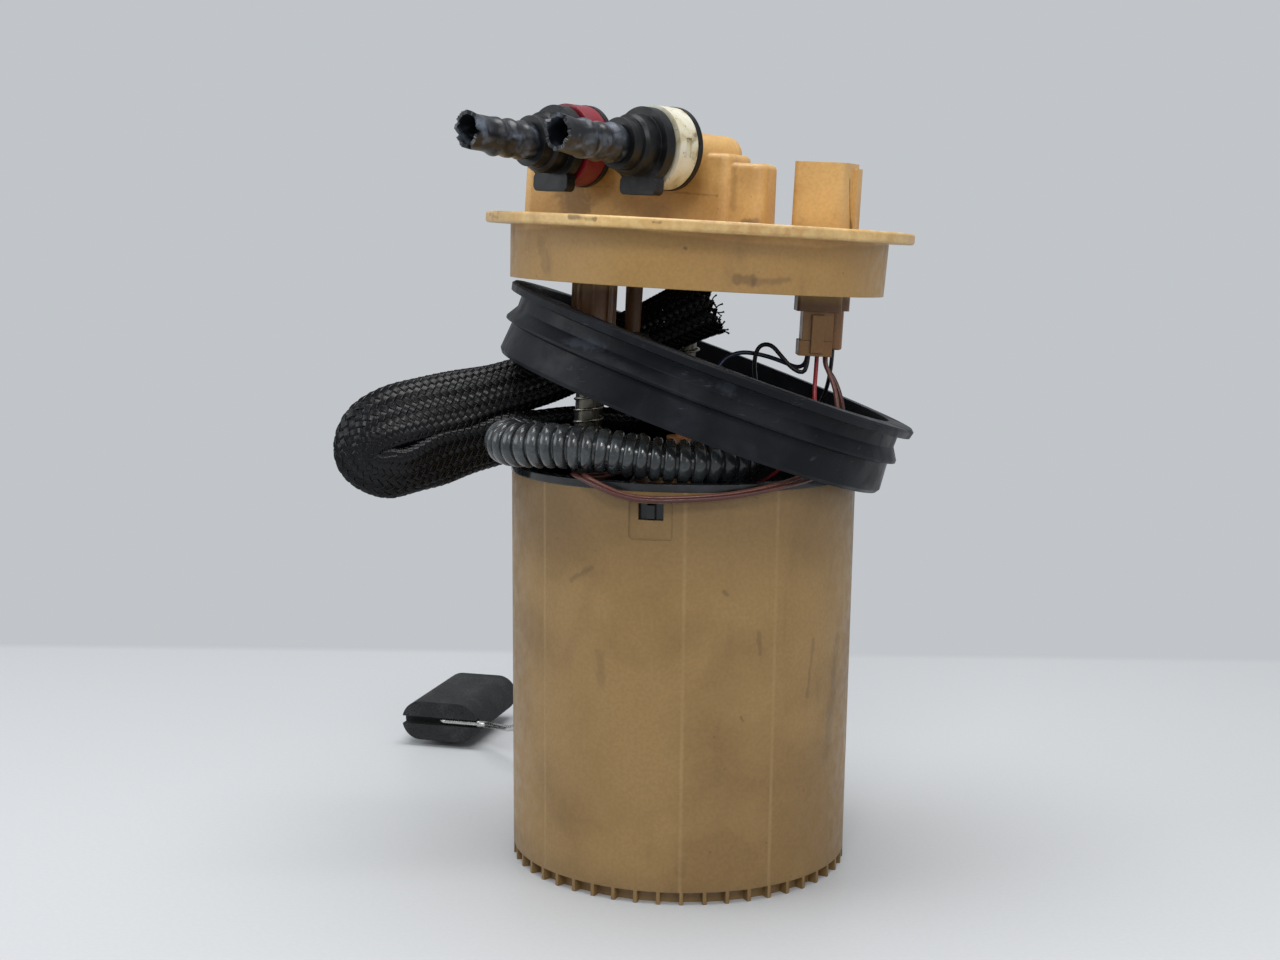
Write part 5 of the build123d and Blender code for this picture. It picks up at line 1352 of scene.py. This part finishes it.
@dataclass
class ReturnHose(SmoothCord):
    """The smooth return hose, from the cap's nipple down to the jet pump."""

    node: str = "return_hose"
    finish: Finish = HOSE_SMOOTH
    radius: float = 4.75 * MM
    bend: Pair = (0.060, 0.1800)
    stiffness: Stiffness = Stiffness.STIFF
    lay: Lay = Lay.HANGING
    hint: Triple = (1.0, 0.0, 0.0)
    skin: float = 4.75 * MM
    step: float = 2.0 * MM
    sides: int = 28
    surface: str = "smooth"


@dataclass
class CorrugatedHose(Cord):
    """The supply hose: a tube of round bulges from the pump's elbow to the cap's nipple."""

    node: str = "supply_hose"
    finish: Finish = HOSE_SMOKY
    radius: float = 7.1 * MM
    bend: Pair = (0.1340, 0.1765)
    stiffness: Stiffness = Stiffness.STIFF
    groove: float = 5.5 * MM
    cuff: float = 5.8 * MM
    cuff_length: float = 7.5 * MM
    cuff_chamfer: float = 0.4 * MM
    pitch: float = 4.2 * MM
    unevenness: float = 0.014
    bulge_share: float = 0.84  # how much of the pitch a bulge takes
    bulge_power: float = 0.8  # below 1 for bulges that are fuller than a sine
    bulge_rings: int = 10
    sides: int = 36
    seed: int = 11

    def _bulge(self, start: float, pitch: float, height: float) -> list[Pair]:
        """The profile of one bulge.

        Args:
            start: Where its pitch begins on the hose.
            pitch: The distance from one bulge to the next.
            height: How far it stands above the grooves.

        Returns:
            Pairs of distance and radius.
        """
        profile = []
        for step in range(self.bulge_rings + 1):
            angle = math.pi * step / self.bulge_rings
            across = self.bulge_share * (1 - math.cos(angle)) / 2
            run = start + pitch * (across + (1 - self.bulge_share) / 2)
            profile.append((run, self.groove + height * math.sin(angle) ** self.bulge_power))
        return profile

    def build(self) -> bpy.types.Object:
        """Builds the hose, a cuff at each end and bulges of slightly uneven size between them.

        Returns:
            The hose.
        """
        length, cuff = self.route.length, self.cuff_length
        body = length - 2 * cuff
        count = round(body / self.pitch)
        pitch = body / count
        luck = random.Random(self.seed)
        sizes = [1 + luck.uniform(-self.unevenness, self.unevenness) for _ in range(count)]
        lip = self.cuff - self.cuff_chamfer
        profile = [(0.0, lip), *((cuff * share, self.cuff) for share in (0.05, 0.5, 0.9))]
        for index, size in enumerate(sizes):
            profile += self._bulge(cuff + index * pitch, pitch, self.radius * size - self.groove)
        profile += [(length - cuff * (1 - share), self.cuff) for share in (0.1, 0.5, 0.95)]
        profile.append((length, lip))
        shell = self.route.sweep(profile, self.sides)
        return self.declared(shell.piece("supply_hose_corrugated", self.finish, CREASE))


@dataclass(frozen=True)
class Section:
    """The flattened section of the sleeve at one place, with even steps round its edge."""

    place: Station
    half_width: float
    half_height: float
    across: Vector
    corner: float = 0.86  # 1 for an ellipse, less for a boxier section
    samples: int = 96

    def edge(self) -> Edge:
        """Walks once round the section in even steps.

        Returns:
            The points of its edge and the outward directions there.
        """
        up = self.place.along.cross(self.across).normalized()
        raw: list[Vector] = []
        for angle in circle(self.samples):
            c, s = math.cos(angle), math.sin(angle)
            flat = abs(c) ** self.corner * math.copysign(1, c)
            tall = abs(s) ** self.corner * math.copysign(1, s)
            raw.append(self.across * (flat * self.half_width) + up * (tall * self.half_height))
        total = [0.0]
        for i in range(self.samples):
            total.append(total[-1] + (raw[(i + 1) % self.samples] - raw[i]).length)
        points: list[Vector] = []
        index = 0
        for i in range(self.samples):
            target = total[-1] * i / self.samples
            while total[index + 1] < target:
                index += 1
            share = (target - total[index]) / max(total[index + 1] - total[index], TINY)
            points.append(raw[index].lerp(raw[(index + 1) % self.samples], share))
        outward = []
        for i in range(self.samples):
            step = points[(i + 1) % self.samples] - points[i - 1]
            outward.append(step.cross(self.place.along).normalized())
        return [self.place.at + p for p in points], outward


@dataclass
class BraidedSleeve(Cord):
    """The black braided sleeve, flattened and folded back on itself, frayed where it was cut."""

    node: str = "braided_sleeve"
    finish: Finish = BRAID_BLACK
    radius: float = 10.4 * MM
    bend: Pair = (0.1350, 0.1760)
    stiffness: Stiffness = Stiffness.LIMP
    far_end: FarEnd = FarEnd.BARE
    half_height: float = 4.0 * MM
    mouth: float = 0.16  # how much wider its cut end is, as a share
    tail: float = 0.08  # how much wider its other end is
    mouth_reach: float = 6.0 * MM
    puff: float = 0.5  # how much thicker it is at the cut
    puff_reach: float = 16.0 * MM
    ripples: tuple[Triple, ...] = ((0.03, 9.0 * MM, 0.0), (0.02, 4.1 * MM, 1.0))
    carriers: int = 18  # strands that wind each way
    lead: float = 46.0 * MM  # the length in which a strand goes once round
    step: float = 0.6 * MM
    lift: float = 0.42 * MM  # how far a strand stands out where it goes over others
    squareness: float = 2.0  # how flat the strand is there
    ribbon: float = 2.2 * MM  # the width of a strand
    ribbon_drop: float = 0.16 * MM
    narrowing: float = 0.36  # how much narrower a strand is at the cut
    narrow_reach: float = 52.0 * MM
    filaments: int = 4
    filament: float = 0.3 * MM
    fray: float = 2.6 * MM  # how unevenly the strands end, and the shares of it at both ends
    cut_share: float = 0.7
    tail_share: float = 0.4
    hairs: int = 40
    hair_lengths: Pair = (0.8 * MM, 2.8 * MM)
    hair_radius: float = 0.24 * MM
    hair_tip: float = 0.7  # how much thicker a hair is at its tip
    hair_curl: float = 0.4
    hair_rings: int = 7
    hair_sides: int = 5
    seed: int = 29
    facing: tuple[tuple[float, Triple], ...] = (
        (0.00, (-0.30, 0.10, 0.95)),
        (0.12, (-0.28, 0.22, 0.93)),
        (0.25, (-0.28, 0.40, 0.88)),
        (0.38, (-0.34, 0.46, 0.82)),
        (0.44, (-0.74, 0.40, 0.52)),
        (0.485, (-0.95, 0.30, 0.00)),
        (0.53, (-0.60, 0.42, -0.68)),
        (0.60, (0.22, 0.66, -0.72)),
        (0.75, (0.12, 0.72, -0.68)),
        (0.90, (0.30, 0.80, -0.50)),
        (1.00, (0.60, 0.80, 0.00)),
    )
    widths: tuple[Pair, ...] = (
        (0.00, 0.98),
        (0.18, 0.86),
        (0.28, 0.92),
        (0.37, 1.06),
        (0.43, 1.08),
        (0.485, 0.86),
        (0.53, 1.03),
        (0.60, 1.08),
        (0.66, 1.02),
        (0.80, 0.96),
        (1.00, 0.90),
    )
    lifts: tuple[Pair, ...] = (
        (0.00, 0.0),
        (0.45, 0.0),
        (0.53, 3.2 * MM),
        (0.59, 2.8 * MM),
        (0.66, 0.0),
        (0.72, -2.2 * MM),
        (0.79, -2.2 * MM),
        (0.88, 0.0),
        (1.00, 0.0),
    )

    @staticmethod
    def _step(shares: Sequence[float], share: float) -> tuple[int, float]:
        """Finds a share of the sleeve's length in the first column of a table.

        Args:
            shares: The table's shares of the length, in their order.
            share: The share that is wanted.

        Returns:
            The row before it, and how far it is to the next row, eased.
        """
        row = next(i for i, high in enumerate(shares[1:]) if share <= high)
        part = (share - shares[row]) / (shares[row + 1] - shares[row])
        return row, part * part * (3 - 2 * part)

    def _across(self, share: float, along: Vector) -> Vector:
        """The direction of the sleeve's width at a share of its length.

        Args:
            share: The share of the length.
            along: Which way the sleeve runs there.

        Returns:
            The direction, square to the way that the sleeve runs.
        """
        row, part = self._step([at for at, _ in self.facing], share)
        first, second = (Vector(way) for _, way in self.facing[row : row + 2])
        wanted = first.lerp(second, part)
        return (wanted - along * wanted.dot(along)).normalized()

    def _value(self, table: tuple[Pair, ...], share: float) -> float:
        """Reads a table of widths or lifts at a share of the sleeve's length.

        Args:
            table: Pairs of a share of the length and the value there.
            share: The share that is wanted.

        Returns:
            The value there.
        """
        row, part = self._step([at for at, _ in table], share)
        first, second = (value for _, value in table[row : row + 2])
        return first + (second - first) * part

    def _section(self, run: float) -> Edge:
        """The sleeve's section at a distance: wider at its ends, rippled, and puffed at the cut.

        Args:
            run: The distance from the cut end.

        Returns:
            The points of its edge and the outward directions there.
        """
        share = run / self.route.length
        station = self.route.station(run)
        raised = station.at + Vector(UP) * self._value(self.lifts, share)
        place = replace(station, at=raised)
        mouth = self.mouth * fading(run, self.mouth_reach)
        flare = 1 + mouth + self.tail * fading(self.route.length - run, self.mouth_reach)
        ripple = 1 + sum(size * math.sin(run / wave + phase) for size, wave, phase in self.ripples)
        puff = 1 + self.puff * fading(run, self.puff_reach)
        section = Section(
            place,
            self.radius * self._value(self.widths, share) * flare * (2 - ripple),
            self.half_height * flare * ripple * puff,
            self._across(share, place.along),
        )
        return section.edge()

    def _wave(self, phase: float) -> float:
        """Height of a strand, -1 to 1, as it goes over two and under two others."""
        swing = math.cos(2 * math.pi * (phase - 0.5) / 4)
        return math.tanh(self.squareness * swing) / math.tanh(self.squareness)

    def _ribbon(self) -> list[Pair]:
        """The section of a strand: a row of round filaments with lowered edges.

        Returns:
            Pairs of a place across the strand and the height there.
        """
        half = self.ribbon / 2
        count = 2 * self.filaments
        inner = [(half * (2 * k / count - 1), self.filament * (k % 2)) for k in range(1, count)]
        return [(-half, -self.ribbon_drop), *inner, (half, -self.ribbon_drop)]

    def _strand(
        self,
        shell: Shell,
        runs: Sequence[float],
        edges: Sequence[Edge],
        index: int,
        hand: int,
        luck: random.Random,
    ) -> tuple[Vector, Vector]:
        """Lays one flat strand of filaments.

        Args:
            shell: The mesh that takes it.
            runs: The distances of the sections.
            edges: The sections' edges.
            index: Which of its hand's strands it is.
            hand: 1 or -1, the way that it winds.
            luck: The source of its uneven ends.

        Returns:
            The strand's cut end and the direction in which it ends.
        """
        samples = len(edges[0][0])
        first = luck.uniform(0.0, self.fray) * self.cut_share
        last = self.route.length - luck.uniform(0.0, self.fray) * self.tail_share
        line: list[Vector] = []
        outs: list[Vector] = []
        for run, (points, outward) in zip(runs, edges, strict=True):
            if not first <= run <= last:
                continue
            turns = self.carriers * run / self.lead
            place = (index + hand * turns) / self.carriers % 1.0 * samples
            low = int(place) % samples
            high = (low + 1) % samples
            share = place - int(place)
            out = outward[low].lerp(outward[high], share).normalized()
            phase = (2 * index + 2 * hand * turns) % 4
            height = hand * self._wave(phase) * self.lift
            line.append(points[low].lerp(points[high], share) + out * height)
            outs.append(out)
        shape = self._ribbon()
        rows = []
        for i, (point, out) in enumerate(zip(line, outs, strict=True)):
            way = heading(line, i)
            cross = way.cross(out).normalized()
            up = cross.cross(way)
            drawn = 1 - self.narrowing * hump(first + i * self.step, self.narrow_reach)
            rows.append(shell.row(point + cross * (a * drawn) + up * b for a, b in shape))
        shell.join(rows, closed=False)
        return line[0], (line[0] - line[2]).normalized()

    def _hair(self, shell: Shell, start: Vector, way: Vector, luck: random.Random) -> None:
        """Adds one loose filament at the frayed end.

        Args:
            shell: The mesh that takes it.
            start: Where it leaves its strand.
            way: The direction in which it leaves.
            luck: The source of its length and curl.
        """
        length = luck.uniform(*self.hair_lengths)
        bend = Vector((luck.gauss(0, 1), luck.gauss(0, 1), luck.gauss(0, 1))) * self.hair_curl
        bend = bend - way * bend.dot(way)
        rings = []
        for i in range(self.hair_rings):
            share = i / (self.hair_rings - 1)
            at = start + way * (length * share) + bend * (length * share * share)
            place = Station.on_axis(at, (way + bend * (2 * share)).normalized())
            size = self.hair_radius * (1 + self.hair_tip * share**6)
            rings.append(shell.row(place.ring(size, self.hair_sides)))
        shell.join(rings)
        shell.lid(rings[-1])

    def build(self) -> bpy.types.Object:
        """Weaves the sleeve.

        Returns:
            The sleeve.
        """
        luck = random.Random(self.seed)
        runs = spaced(self.route.length, self.step)
        edges = [self._section(run) for run in runs]
        woven, loose = Shell(), Shell()
        ends = []
        for hand in (1, -1):
            for index in range(self.carriers):
                ends.append(self._strand(woven, runs, edges, index, hand, luck))
        for _ in range(self.hairs):
            start, way = luck.choice(ends)
            self._hair(loose, start, way, luck)
        return self.declared(
            woven.piece("braided_sleeve_woven", self.finish),
            loose.piece("braided_sleeve_frayed_ends", self.finish),
        )


@dataclass
class Loom:
    """The wires between the cap's plugs, the pump and the sender.

    Each wire has its node, its finish and the two levels of its bend.
    """

    wires: tuple[tuple[str, WireCoat, Pair], ...] = (
        ("wire_red", COAT_RED, (0.1300, 0.1705)),
        ("wire_brown", COAT_BROWN, (0.1370, 0.1765)),
        ("wire_maroon", COAT_MAROON, (0.1370, 0.1765)),
        ("wire_black", COAT_BLACK, (0.1200, 0.1640)),
        ("wire_blue", COAT_BLUE, (0.1350, 0.1660)),
        ("wire_sender", COAT_BLACK, (0.1300, 0.1705)),
    )

    def build(self) -> list[bpy.types.Object]:
        """Builds every wire."""
        return [SmoothCord(node, coat, bend=bend).build() for node, coat, bend in self.wires]


# ---------------------------------------------------------------- turned and coiled pieces
@dataclass
class CoilSpring:
    """A spring round one guide rod, between the carrier's boss and the cap's socket."""

    node: str
    foot: Triple
    head: Triple
    coil: float = 4.6 * MM
    wire: float = 0.42 * MM
    pitch: float = 3.75 * MM
    closed: float = 1.0  # turns that lie flat at each end
    closed_rise: float = 1.05  # how far such a turn rises, in radii of the wire
    sides: int = 10
    steps: int = 30

    def _wind(self, axis: Station, length: float) -> list[Vector]:
        """Winds the wire's centreline, with its end turns laid flat.

        Args:
            axis: The spring's foot and the way up.
            length: The spring's length.

        Returns:
            The points of the centreline.
        """
        turns = length / self.pitch + self.closed
        count = int(turns * self.steps)
        line: list[Vector] = []
        for i in range(count + 1):
            turn = turns * i / count
            end = min(turn, turns - turn)
            eased = min(end / self.closed, 1.0) ** 2
            even = length * (end - self.closed / 2) / (turns - self.closed)
            flat = self.closed_rise * self.wire * eased
            rise = flat + (even - flat) * eased
            if turn >= turns / 2:
                rise = length - rise
            level = replace(axis, at=axis.at + axis.along * rise)
            line.append(level.around(2 * math.pi * turn, self.coil))
        return line

    def build(self) -> bpy.types.Object:
        """Builds the spring.

        Returns:
            The spring.
        """
        foot, head = Vector(self.foot), Vector(self.head)
        up = (head - foot).normalized()
        line = self._wind(Station.on_axis(foot, up), (head - foot).length)
        shell = Shell()
        rings = []
        for i, point in enumerate(line):
            way = heading(line, i)
            out = (point - (foot + up * (point - foot).dot(up))).normalized()
            out = (out - way * out.dot(way)).normalized()
            place = Station(point, way, out, way.cross(out))
            rings.append(shell.row(place.ring(self.wire, self.sides)))
        shell.tube(rings)
        piece = shell.piece(self.node + "_wound", SPRING_STEEL, CREASE)
        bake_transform(piece)
        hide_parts(self.node)
        return piece


@dataclass
class TornTube:
    """The stub of tube that was torn off beyond a quick connector."""

    node: str
    body: Body
    collar: Triple
    seed: int
    start: float = 18.2 * MM  # where it starts and ends, from the collar
    end: float = 45.0 * MM
    radius: float = 5.5 * MM
    wall: float = 1.25 * MM
    barb: float = 0.675 * MM  # how far it swells over each barb
    barbs: Triple = (22.6 * MM, 28.0 * MM, 33.6 * MM)
    barb_reach: float = 1.7 * MM
    lip: float = 0.375 * MM  # the rounded edge next to the collar
    lip_at: float = 20.0 * MM
    lip_reach: float = 1.2 * MM
    flare: float = 0.3 * MM  # how far its torn end opens
    flare_from: float = 38.0 * MM
    flare_over: float = 7.0 * MM
    lift: float = 1.7 * MM  # how far its torn end bends up
    lift_from: float = 24.0 * MM
    lift_over: float = 21.0 * MM
    dents: int = 3
    dent: float = 0.12 * MM
    dent_twist: float = 0.7  # radians in each millimetre
    wave: float = 0.5 * MM  # the size of the tear's waves, and how they fall off
    harmonics: int = 14
    wave_sizes: Pair = (0.2, 1.0)
    wave_fall: float = 0.55
    widest_phase: float = 6.3
    spikes: int = 3
    spike: float = 1.7 * MM  # how deep the tear's splits are
    spike_drift: float = 2.2
    spike_power: int = 9
    nick: float = 0.3 * MM
    deepest: float = 4.2 * MM
    step: float = 0.5 * MM
    columns: int = 88
    crease: float = 60.0

    def _size(self, run: float) -> float:
        """Radius of the tube's outside, which swells over the barbs.

        Args:
            run: The distance from the collar.

        Returns:
            The radius there.
        """
        swell = sum(hump(run - barb, self.barb_reach) for barb in self.barbs)
        lip = hump(run - self.lip_at, self.lip_reach)
        flare = max(0.0, (run - self.flare_from) / self.flare_over) ** 2
        return self.radius + self.barb * swell + self.lip * lip + self.flare * flare

    def _tears(self) -> list[float]:
        """How far each column of the tube ends before the longest one.

        Returns:
            Lengths of 0 or less, one for each column.
        """
        luck = random.Random(self.seed)
        waves = []
        for k in range(1, self.harmonics + 1):
            size = luck.uniform(*self.wave_sizes) / k**self.wave_fall
            waves.append((size, luck.uniform(0, self.widest_phase)))
        tears = []
        for angle in circle(self.columns):
            wave = sum(size * math.sin(k * angle + p) for k, (size, p) in enumerate(waves, 2))
            drift = self.spike_drift * math.sin(angle + self.seed)
            spike = max(0.0, math.sin(self.spikes * angle + drift)) ** self.spike_power
            nick = luck.uniform(-self.nick, self.nick)
            tears.append(self.wave * wave - self.spike * spike + nick)
        longest = max(tears)
        return [max(tear - longest, -self.deepest) for tear in tears]

    def build(self) -> bpy.types.Object:
        """Builds the torn tube, its wall following each column's tear.

        Returns:
            The tube, riding on its coupling.
        """
        along = Vector(SPIGOT_OUT).normalized()
        side = along.cross(Vector(UP)).normalized()
        over = side.cross(along)
        length = self.end - self.start
        tears = self._tears()
        shell = Shell()

        def ring(share: float, inward: float) -> list[int]:
            """Adds one ring of the wall, its length scaled to each column's tear.

            Args:
                share: How far along the tube the ring is, 0 to 1.
                inward: How far it is inside the outer face.

            Returns:
                The numbers of the ring's points.
            """
            points = []
            for angle, tear in zip(circle(self.columns), tears, strict=True):
                run = self.start + length * share + tear * share**3
                twist = run / MM * self.dent_twist + self.seed
                dent = self.dent * math.sin(self.dents * angle + twist)
                rise = self.lift * max(0.0, (run - self.lift_from) / self.lift_over) ** 2
                middle = Vector(self.collar) + along * run + over * rise
                place = Station(middle, along, side, over)
                points.append(place.around(angle, self._size(run) - inward + dent))
            return shell.row(points)

        shares = [run / length for run in spaced(length, self.step)]
        outside = [ring(share, 0.0) for share in shares]
        lip = ring(1.0, self.wall * 0.5)
        inside = [ring(share, self.wall) for share in reversed(shares)]
        shell.join([*outside, lip, *inside])
        piece = shell.piece(self.node + "_torn", TUBE_BLACK, self.crease)
        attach(piece, self.body.value)
        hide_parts(self.node)
        return piece


@dataclass
class HoseClamp:
    """A crimped ring, where a hose is pushed on its nipple."""

    name: str
    at: Triple
    axis: Triple
    body: Body
    bore: float = 5.6 * MM
    length: float = 5.0 * MM
    wall: float = 0.8 * MM
    edge: float = 0.3 * MM
    crimp_half: float = 1.0 * MM
    crimp: float = 0.45 * MM
    sides: int = 56
    crease: float = 35.0

    def build(self) -> bpy.types.Object:
        """Builds the ring.

        Returns:
            The ring, riding on what the hose is pushed on.
        """
        half = self.length / 2
        outside = self.bore + self.wall
        shoulder = self.crimp_half + self.edge
        profile = (
            (-half, self.bore),
            (-half, outside - self.edge),
            (-half + self.edge, outside),
            (-shoulder, outside),
            (-self.crimp_half, outside - self.crimp),
            (self.crimp_half, outside - self.crimp),
            (shoulder, outside),
            (half - self.edge, outside),
            (half, outside - self.edge),
            (half, self.bore),
            (-half, self.bore),
        )
        axis = Station.on_axis(Vector(self.at), Vector(self.axis).normalized())
        piece = turned(axis, profile, self.sides).piece(self.name, SPRING_STEEL, self.crease)
        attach(piece, self.body.value)
        return piece


# ---------------------------------------------------------------- dressing the frame
NODE_FINISHES: dict[str, Finish] = {
    "reservoir_cup": CUP_ACETAL,
    "base_strainer": PLUG_ACETAL,
    "carrier": GLOSS_BLACK,
    "pump_can": CAN_ZINC,
    "pump_inlet_cap": PUMP_BLACK,
    "pump_outlet_cap": PUMP_BLACK,
    "motor_magnets": MAGNET_FERRITE,
    "pump_retainer": INNER_ACETAL,
    "pump_plug": PLUG_WHITE,
    "outlet_valve": FOOT_RUBBER,
    "inlet_flap": FOOT_RUBBER,
    "suction_filter": FILTER_CLOTH,
    "pump_foot": FOOT_RUBBER,
    "jet_pump": PUMP_BLACK,
    "sender_housing": HOUSING_BLACK,
    "sender_card": CARD_CERAMIC,
    "cap": CAP_ACETAL,
    "terminal_pins": PIN_BRASS,
    "harness_plug": PLUG_ACETAL,
    "sender_plug": PLUG_ACETAL,
    "front_guide_rod": ROD_STEEL,
    "rear_guide_rod": ROD_STEEL,
    "tank_seal": SEAL_RUBBER,
    "front_connector": CONNECTOR_BLACK,
    "rear_connector": CONNECTOR_BLACK,
    "front_release_collar": COLLAR_WHITE,
    "rear_release_collar": COLLAR_RED,
    "float_arm": WIRE_STEEL,
    "level_float": FLOAT_FOAM,
    "sender_hub": HOUSING_BLACK,
    "sender_wiper": PIN_BRASS,
    "armature": CORE_IRON,
    "impeller": PUMP_BLACK,
    "rotor_shaft": WIRE_STEEL,
}


def dress_frame() -> None:
    """Gives every node of the frame that shows its finish."""
    for name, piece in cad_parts.items():
        if piece.hide_render:
            continue
        finish = NODE_FINISHES.get(name, PUMP_BLACK)
        for held in piece.material_slots:
            held.material = finish.material()
        LOG.info("finish %s on %s", finish.name, name)


# ---------------------------------------------------------------- studio
@dataclass(frozen=True)
class Viewpoint:
    """The camera."""

    place: Triple = (-0.014534, -0.607124, 0.206749)
    pitch: float = 7.43543  # degrees, looking down
    roll: float = 0.68114
    lens: float = 51.1875  # millimetres, as is the sensor's width
    sensor: float = 36.0
    nearest: float = 0.01
    farthest: float = 20.0

    def build(self) -> bpy.types.Object:
        """Makes the camera and sets it as the scene's.

        Returns:
            The camera.
        """
        data = bpy.data.cameras.new("viewpoint")
        data.lens = self.lens
        data.sensor_width = self.sensor
        data.sensor_fit = "HORIZONTAL"
        data.clip_start = self.nearest
        data.clip_end = self.farthest
        camera = placed("viewpoint", data)
        tilt = Matrix.Rotation(math.radians(90 - self.pitch), 4, "X")
        turn = Matrix.Rotation(math.radians(self.roll), 4, "Z")
        camera.matrix_world = Matrix.Translation(self.place) @ tilt @ turn
        bpy.context.scene.camera = camera
        return camera


@dataclass(frozen=True)
class Lamp:
    """One soft rectangular lamp."""

    name: str
    place: Triple
    aim: Triple
    size: float
    power: float
    colour: Triple = (1.0, 1.0, 1.0)
    flatness: float = 0.7

    def build(self) -> bpy.types.Object:
        """Makes the lamp and points it.

        Returns:
            The lamp.
        """
        data = bpy.data.lights.new(self.name, "AREA")
        data.shape = "RECTANGLE"
        data.size = self.size
        data.size_y = self.size * self.flatness
        data.energy = self.power
        data.color = self.colour
        lamp = placed(self.name, data)
        lamp.location = self.place
        way = Vector(self.aim) - Vector(self.place)
        lamp.rotation_mode = "QUATERNION"
        lamp.rotation_quaternion = way.to_track_quat("-Z", "Y")
        return lamp


@dataclass
class Studio:
    """The floor, the soft light and what stands behind."""

    backdrop: Colour = tone(193, 197, 201)
    table: Colour = tone(199, 201, 203)
    table_roughness: float = 0.42
    table_shine: float = 0.3
    sky: Colour = (0.84, 0.87, 0.91, 1.0)
    sky_strength: float = 0.46
    half_width: float = 0.46
    half_depth: float = 0.293
    reach: float = 9.0
    lamps: tuple[Lamp, ...] = (
        Lamp("ceiling", (0.0, 0.02, 1.0), (0.0, 0.0, 0.12), 0.75, 6.9),
        Lamp("window", (-0.95, -0.15, 0.55), (0.0, 0.0, 0.13), 0.8, 3.3, (0.93, 0.97, 1.0)),
        Lamp("bounce", (0.55, -0.75, 0.55), (0.0, 0.0, 0.13), 0.9, 2.6, (1.0, 0.98, 0.95)),
        Lamp("front", (-0.10, -1.05, 0.95), (0.0, 0.0, 0.10), 0.42, 4.6),
    )

    def _floor_paint(self) -> bpy.types.Material:
        """Makes the floor's material: the table, and the backdrop's colour past its edges.

        Returns:
            The material.
        """
        paint = bpy.data.materials.new("floor_paint")
        sheet = Sheet(paint)
        at = sheet.place()
        x, y, _ = sheet.axes(at)
        fine = sheet.noise(at, 0.0016, 3.0)
        past = (abs(x) - self.half_width).at_least(abs(y) - self.half_depth).rise(-0.004, 0.012)
        white = sheet.blend(1.0, self.table, fine.rise(0.3, 0.7, 0.985, 1.01), "MULTIPLY")
        near = sheet.add(
            "ShaderNodeBsdfPrincipled",
            values={
                "Base Color": white,
                "Roughness": self.table_roughness,
                "Specular IOR Level": self.table_shine,
            },
        )
        far = sheet.add("ShaderNodeEmission", values={"Color": self.backdrop, "Strength": 1.0})
        mixed = sheet.add("ShaderNodeMixShader", values={0: past, 1: near, 2: far})
        sheet.add("ShaderNodeOutputMaterial", values={"Surface": mixed})
        return paint

    def _floor(self) -> None:
        """Lays the floor, which fades into the backdrop's colour."""
        far = self.reach
        mesh = bpy.data.meshes.new("floor")
        corners = [(-far, -far, 0), (far, -far, 0), (far, far, 0), (-far, far, 0)]
        mesh.from_pydata(corners, [], [(0, 1, 2, 3)])
        mesh.materials.append(self._floor_paint())
        placed("floor", mesh)

    def _sky(self) -> None:
        """Sets the world: a soft sky for the light, the backdrop's colour for the eye."""
        world = bpy.data.worlds.new("studio_sky")
        bpy.context.scene.world = world
        sheet = Sheet(world)
        glow = {"Color": self.sky, "Strength": self.sky_strength}
        light = sheet.add("ShaderNodeBackground", values=glow)
        seen = sheet.add("ShaderNodeBackground", values={"Color": self.backdrop, "Strength": 1.0})
        looked_at = sheet.add("ShaderNodeLightPath", output="Is Camera Ray")
        mixed = sheet.add("ShaderNodeMixShader", values={0: looked_at, 1: light, 2: seen})
        sheet.add("ShaderNodeOutputWorld", values={"Surface": mixed})

    def build(self) -> None:
        """Builds the studio."""
        self._floor()
        self._sky()
        for lamp in self.lamps:
            lamp.build()
        bpy.context.scene.view_settings.view_transform = "Standard"


# ---------------------------------------------------------------- the whole module
@dataclass
class PumpModule:
    """The whole module, built in order."""

    hose: CorrugatedHose = field(default_factory=CorrugatedHose)
    back_hose: ReturnHose = field(default_factory=ReturnHose)
    sleeve: BraidedSleeve = field(default_factory=BraidedSleeve)
    loom: Loom = field(default_factory=Loom)
    springs: tuple[CoilSpring, ...] = (
        CoilSpring("front_spring", (-0.032548, -0.0200, 0.1267), (-0.030518, -0.0200, 0.174344)),
        CoilSpring("rear_spring", (-0.000419, 0.0440, 0.1267), (0.001553, 0.0440, 0.172978)),
    )
    tubes: tuple[TornTube, ...] = (
        TornTube("front_tube_stub", Body.FRONT_COUPLING, (-0.0095, -0.0220, 0.2365), 5),
        TornTube("rear_tube_stub", Body.REAR_COUPLING, (-0.03776, -0.00786, 0.23771), 8),
    )
    clamps: tuple[HoseClamp, ...] = (
        HoseClamp(
            "elbow_clamp",
            (-0.01560, -0.00516, 0.1376),
            (-0.99756, -0.06976, 0.0),
            Body.RESERVOIR,
        ),
        HoseClamp("nipple_clamp", (-0.01799, 0.0146, 0.17250), CAP_UP, Body.CAP),
    )

    def build(self) -> None:
        """Builds every piece and reports it."""
        made = [self.hose.build(), self.back_hose.build(), self.sleeve.build()]
        made.extend(self.loom.build())
        for maker in (*self.springs, *self.tubes, *self.clamps):
            made.append(maker.build())
        for piece in made:
            LOG.info("piece %s, %d faces", piece.name, len(piece.data.polygons))
        dress_frame()


def main() -> None:
    """Builds the camera, the module and the studio."""
    logging.basicConfig(level=logging.INFO, format="%(name)s: %(message)s")
    Viewpoint().build()
    PumpModule().build()
    Studio().build()


if __name__ == "__main__":
    main()
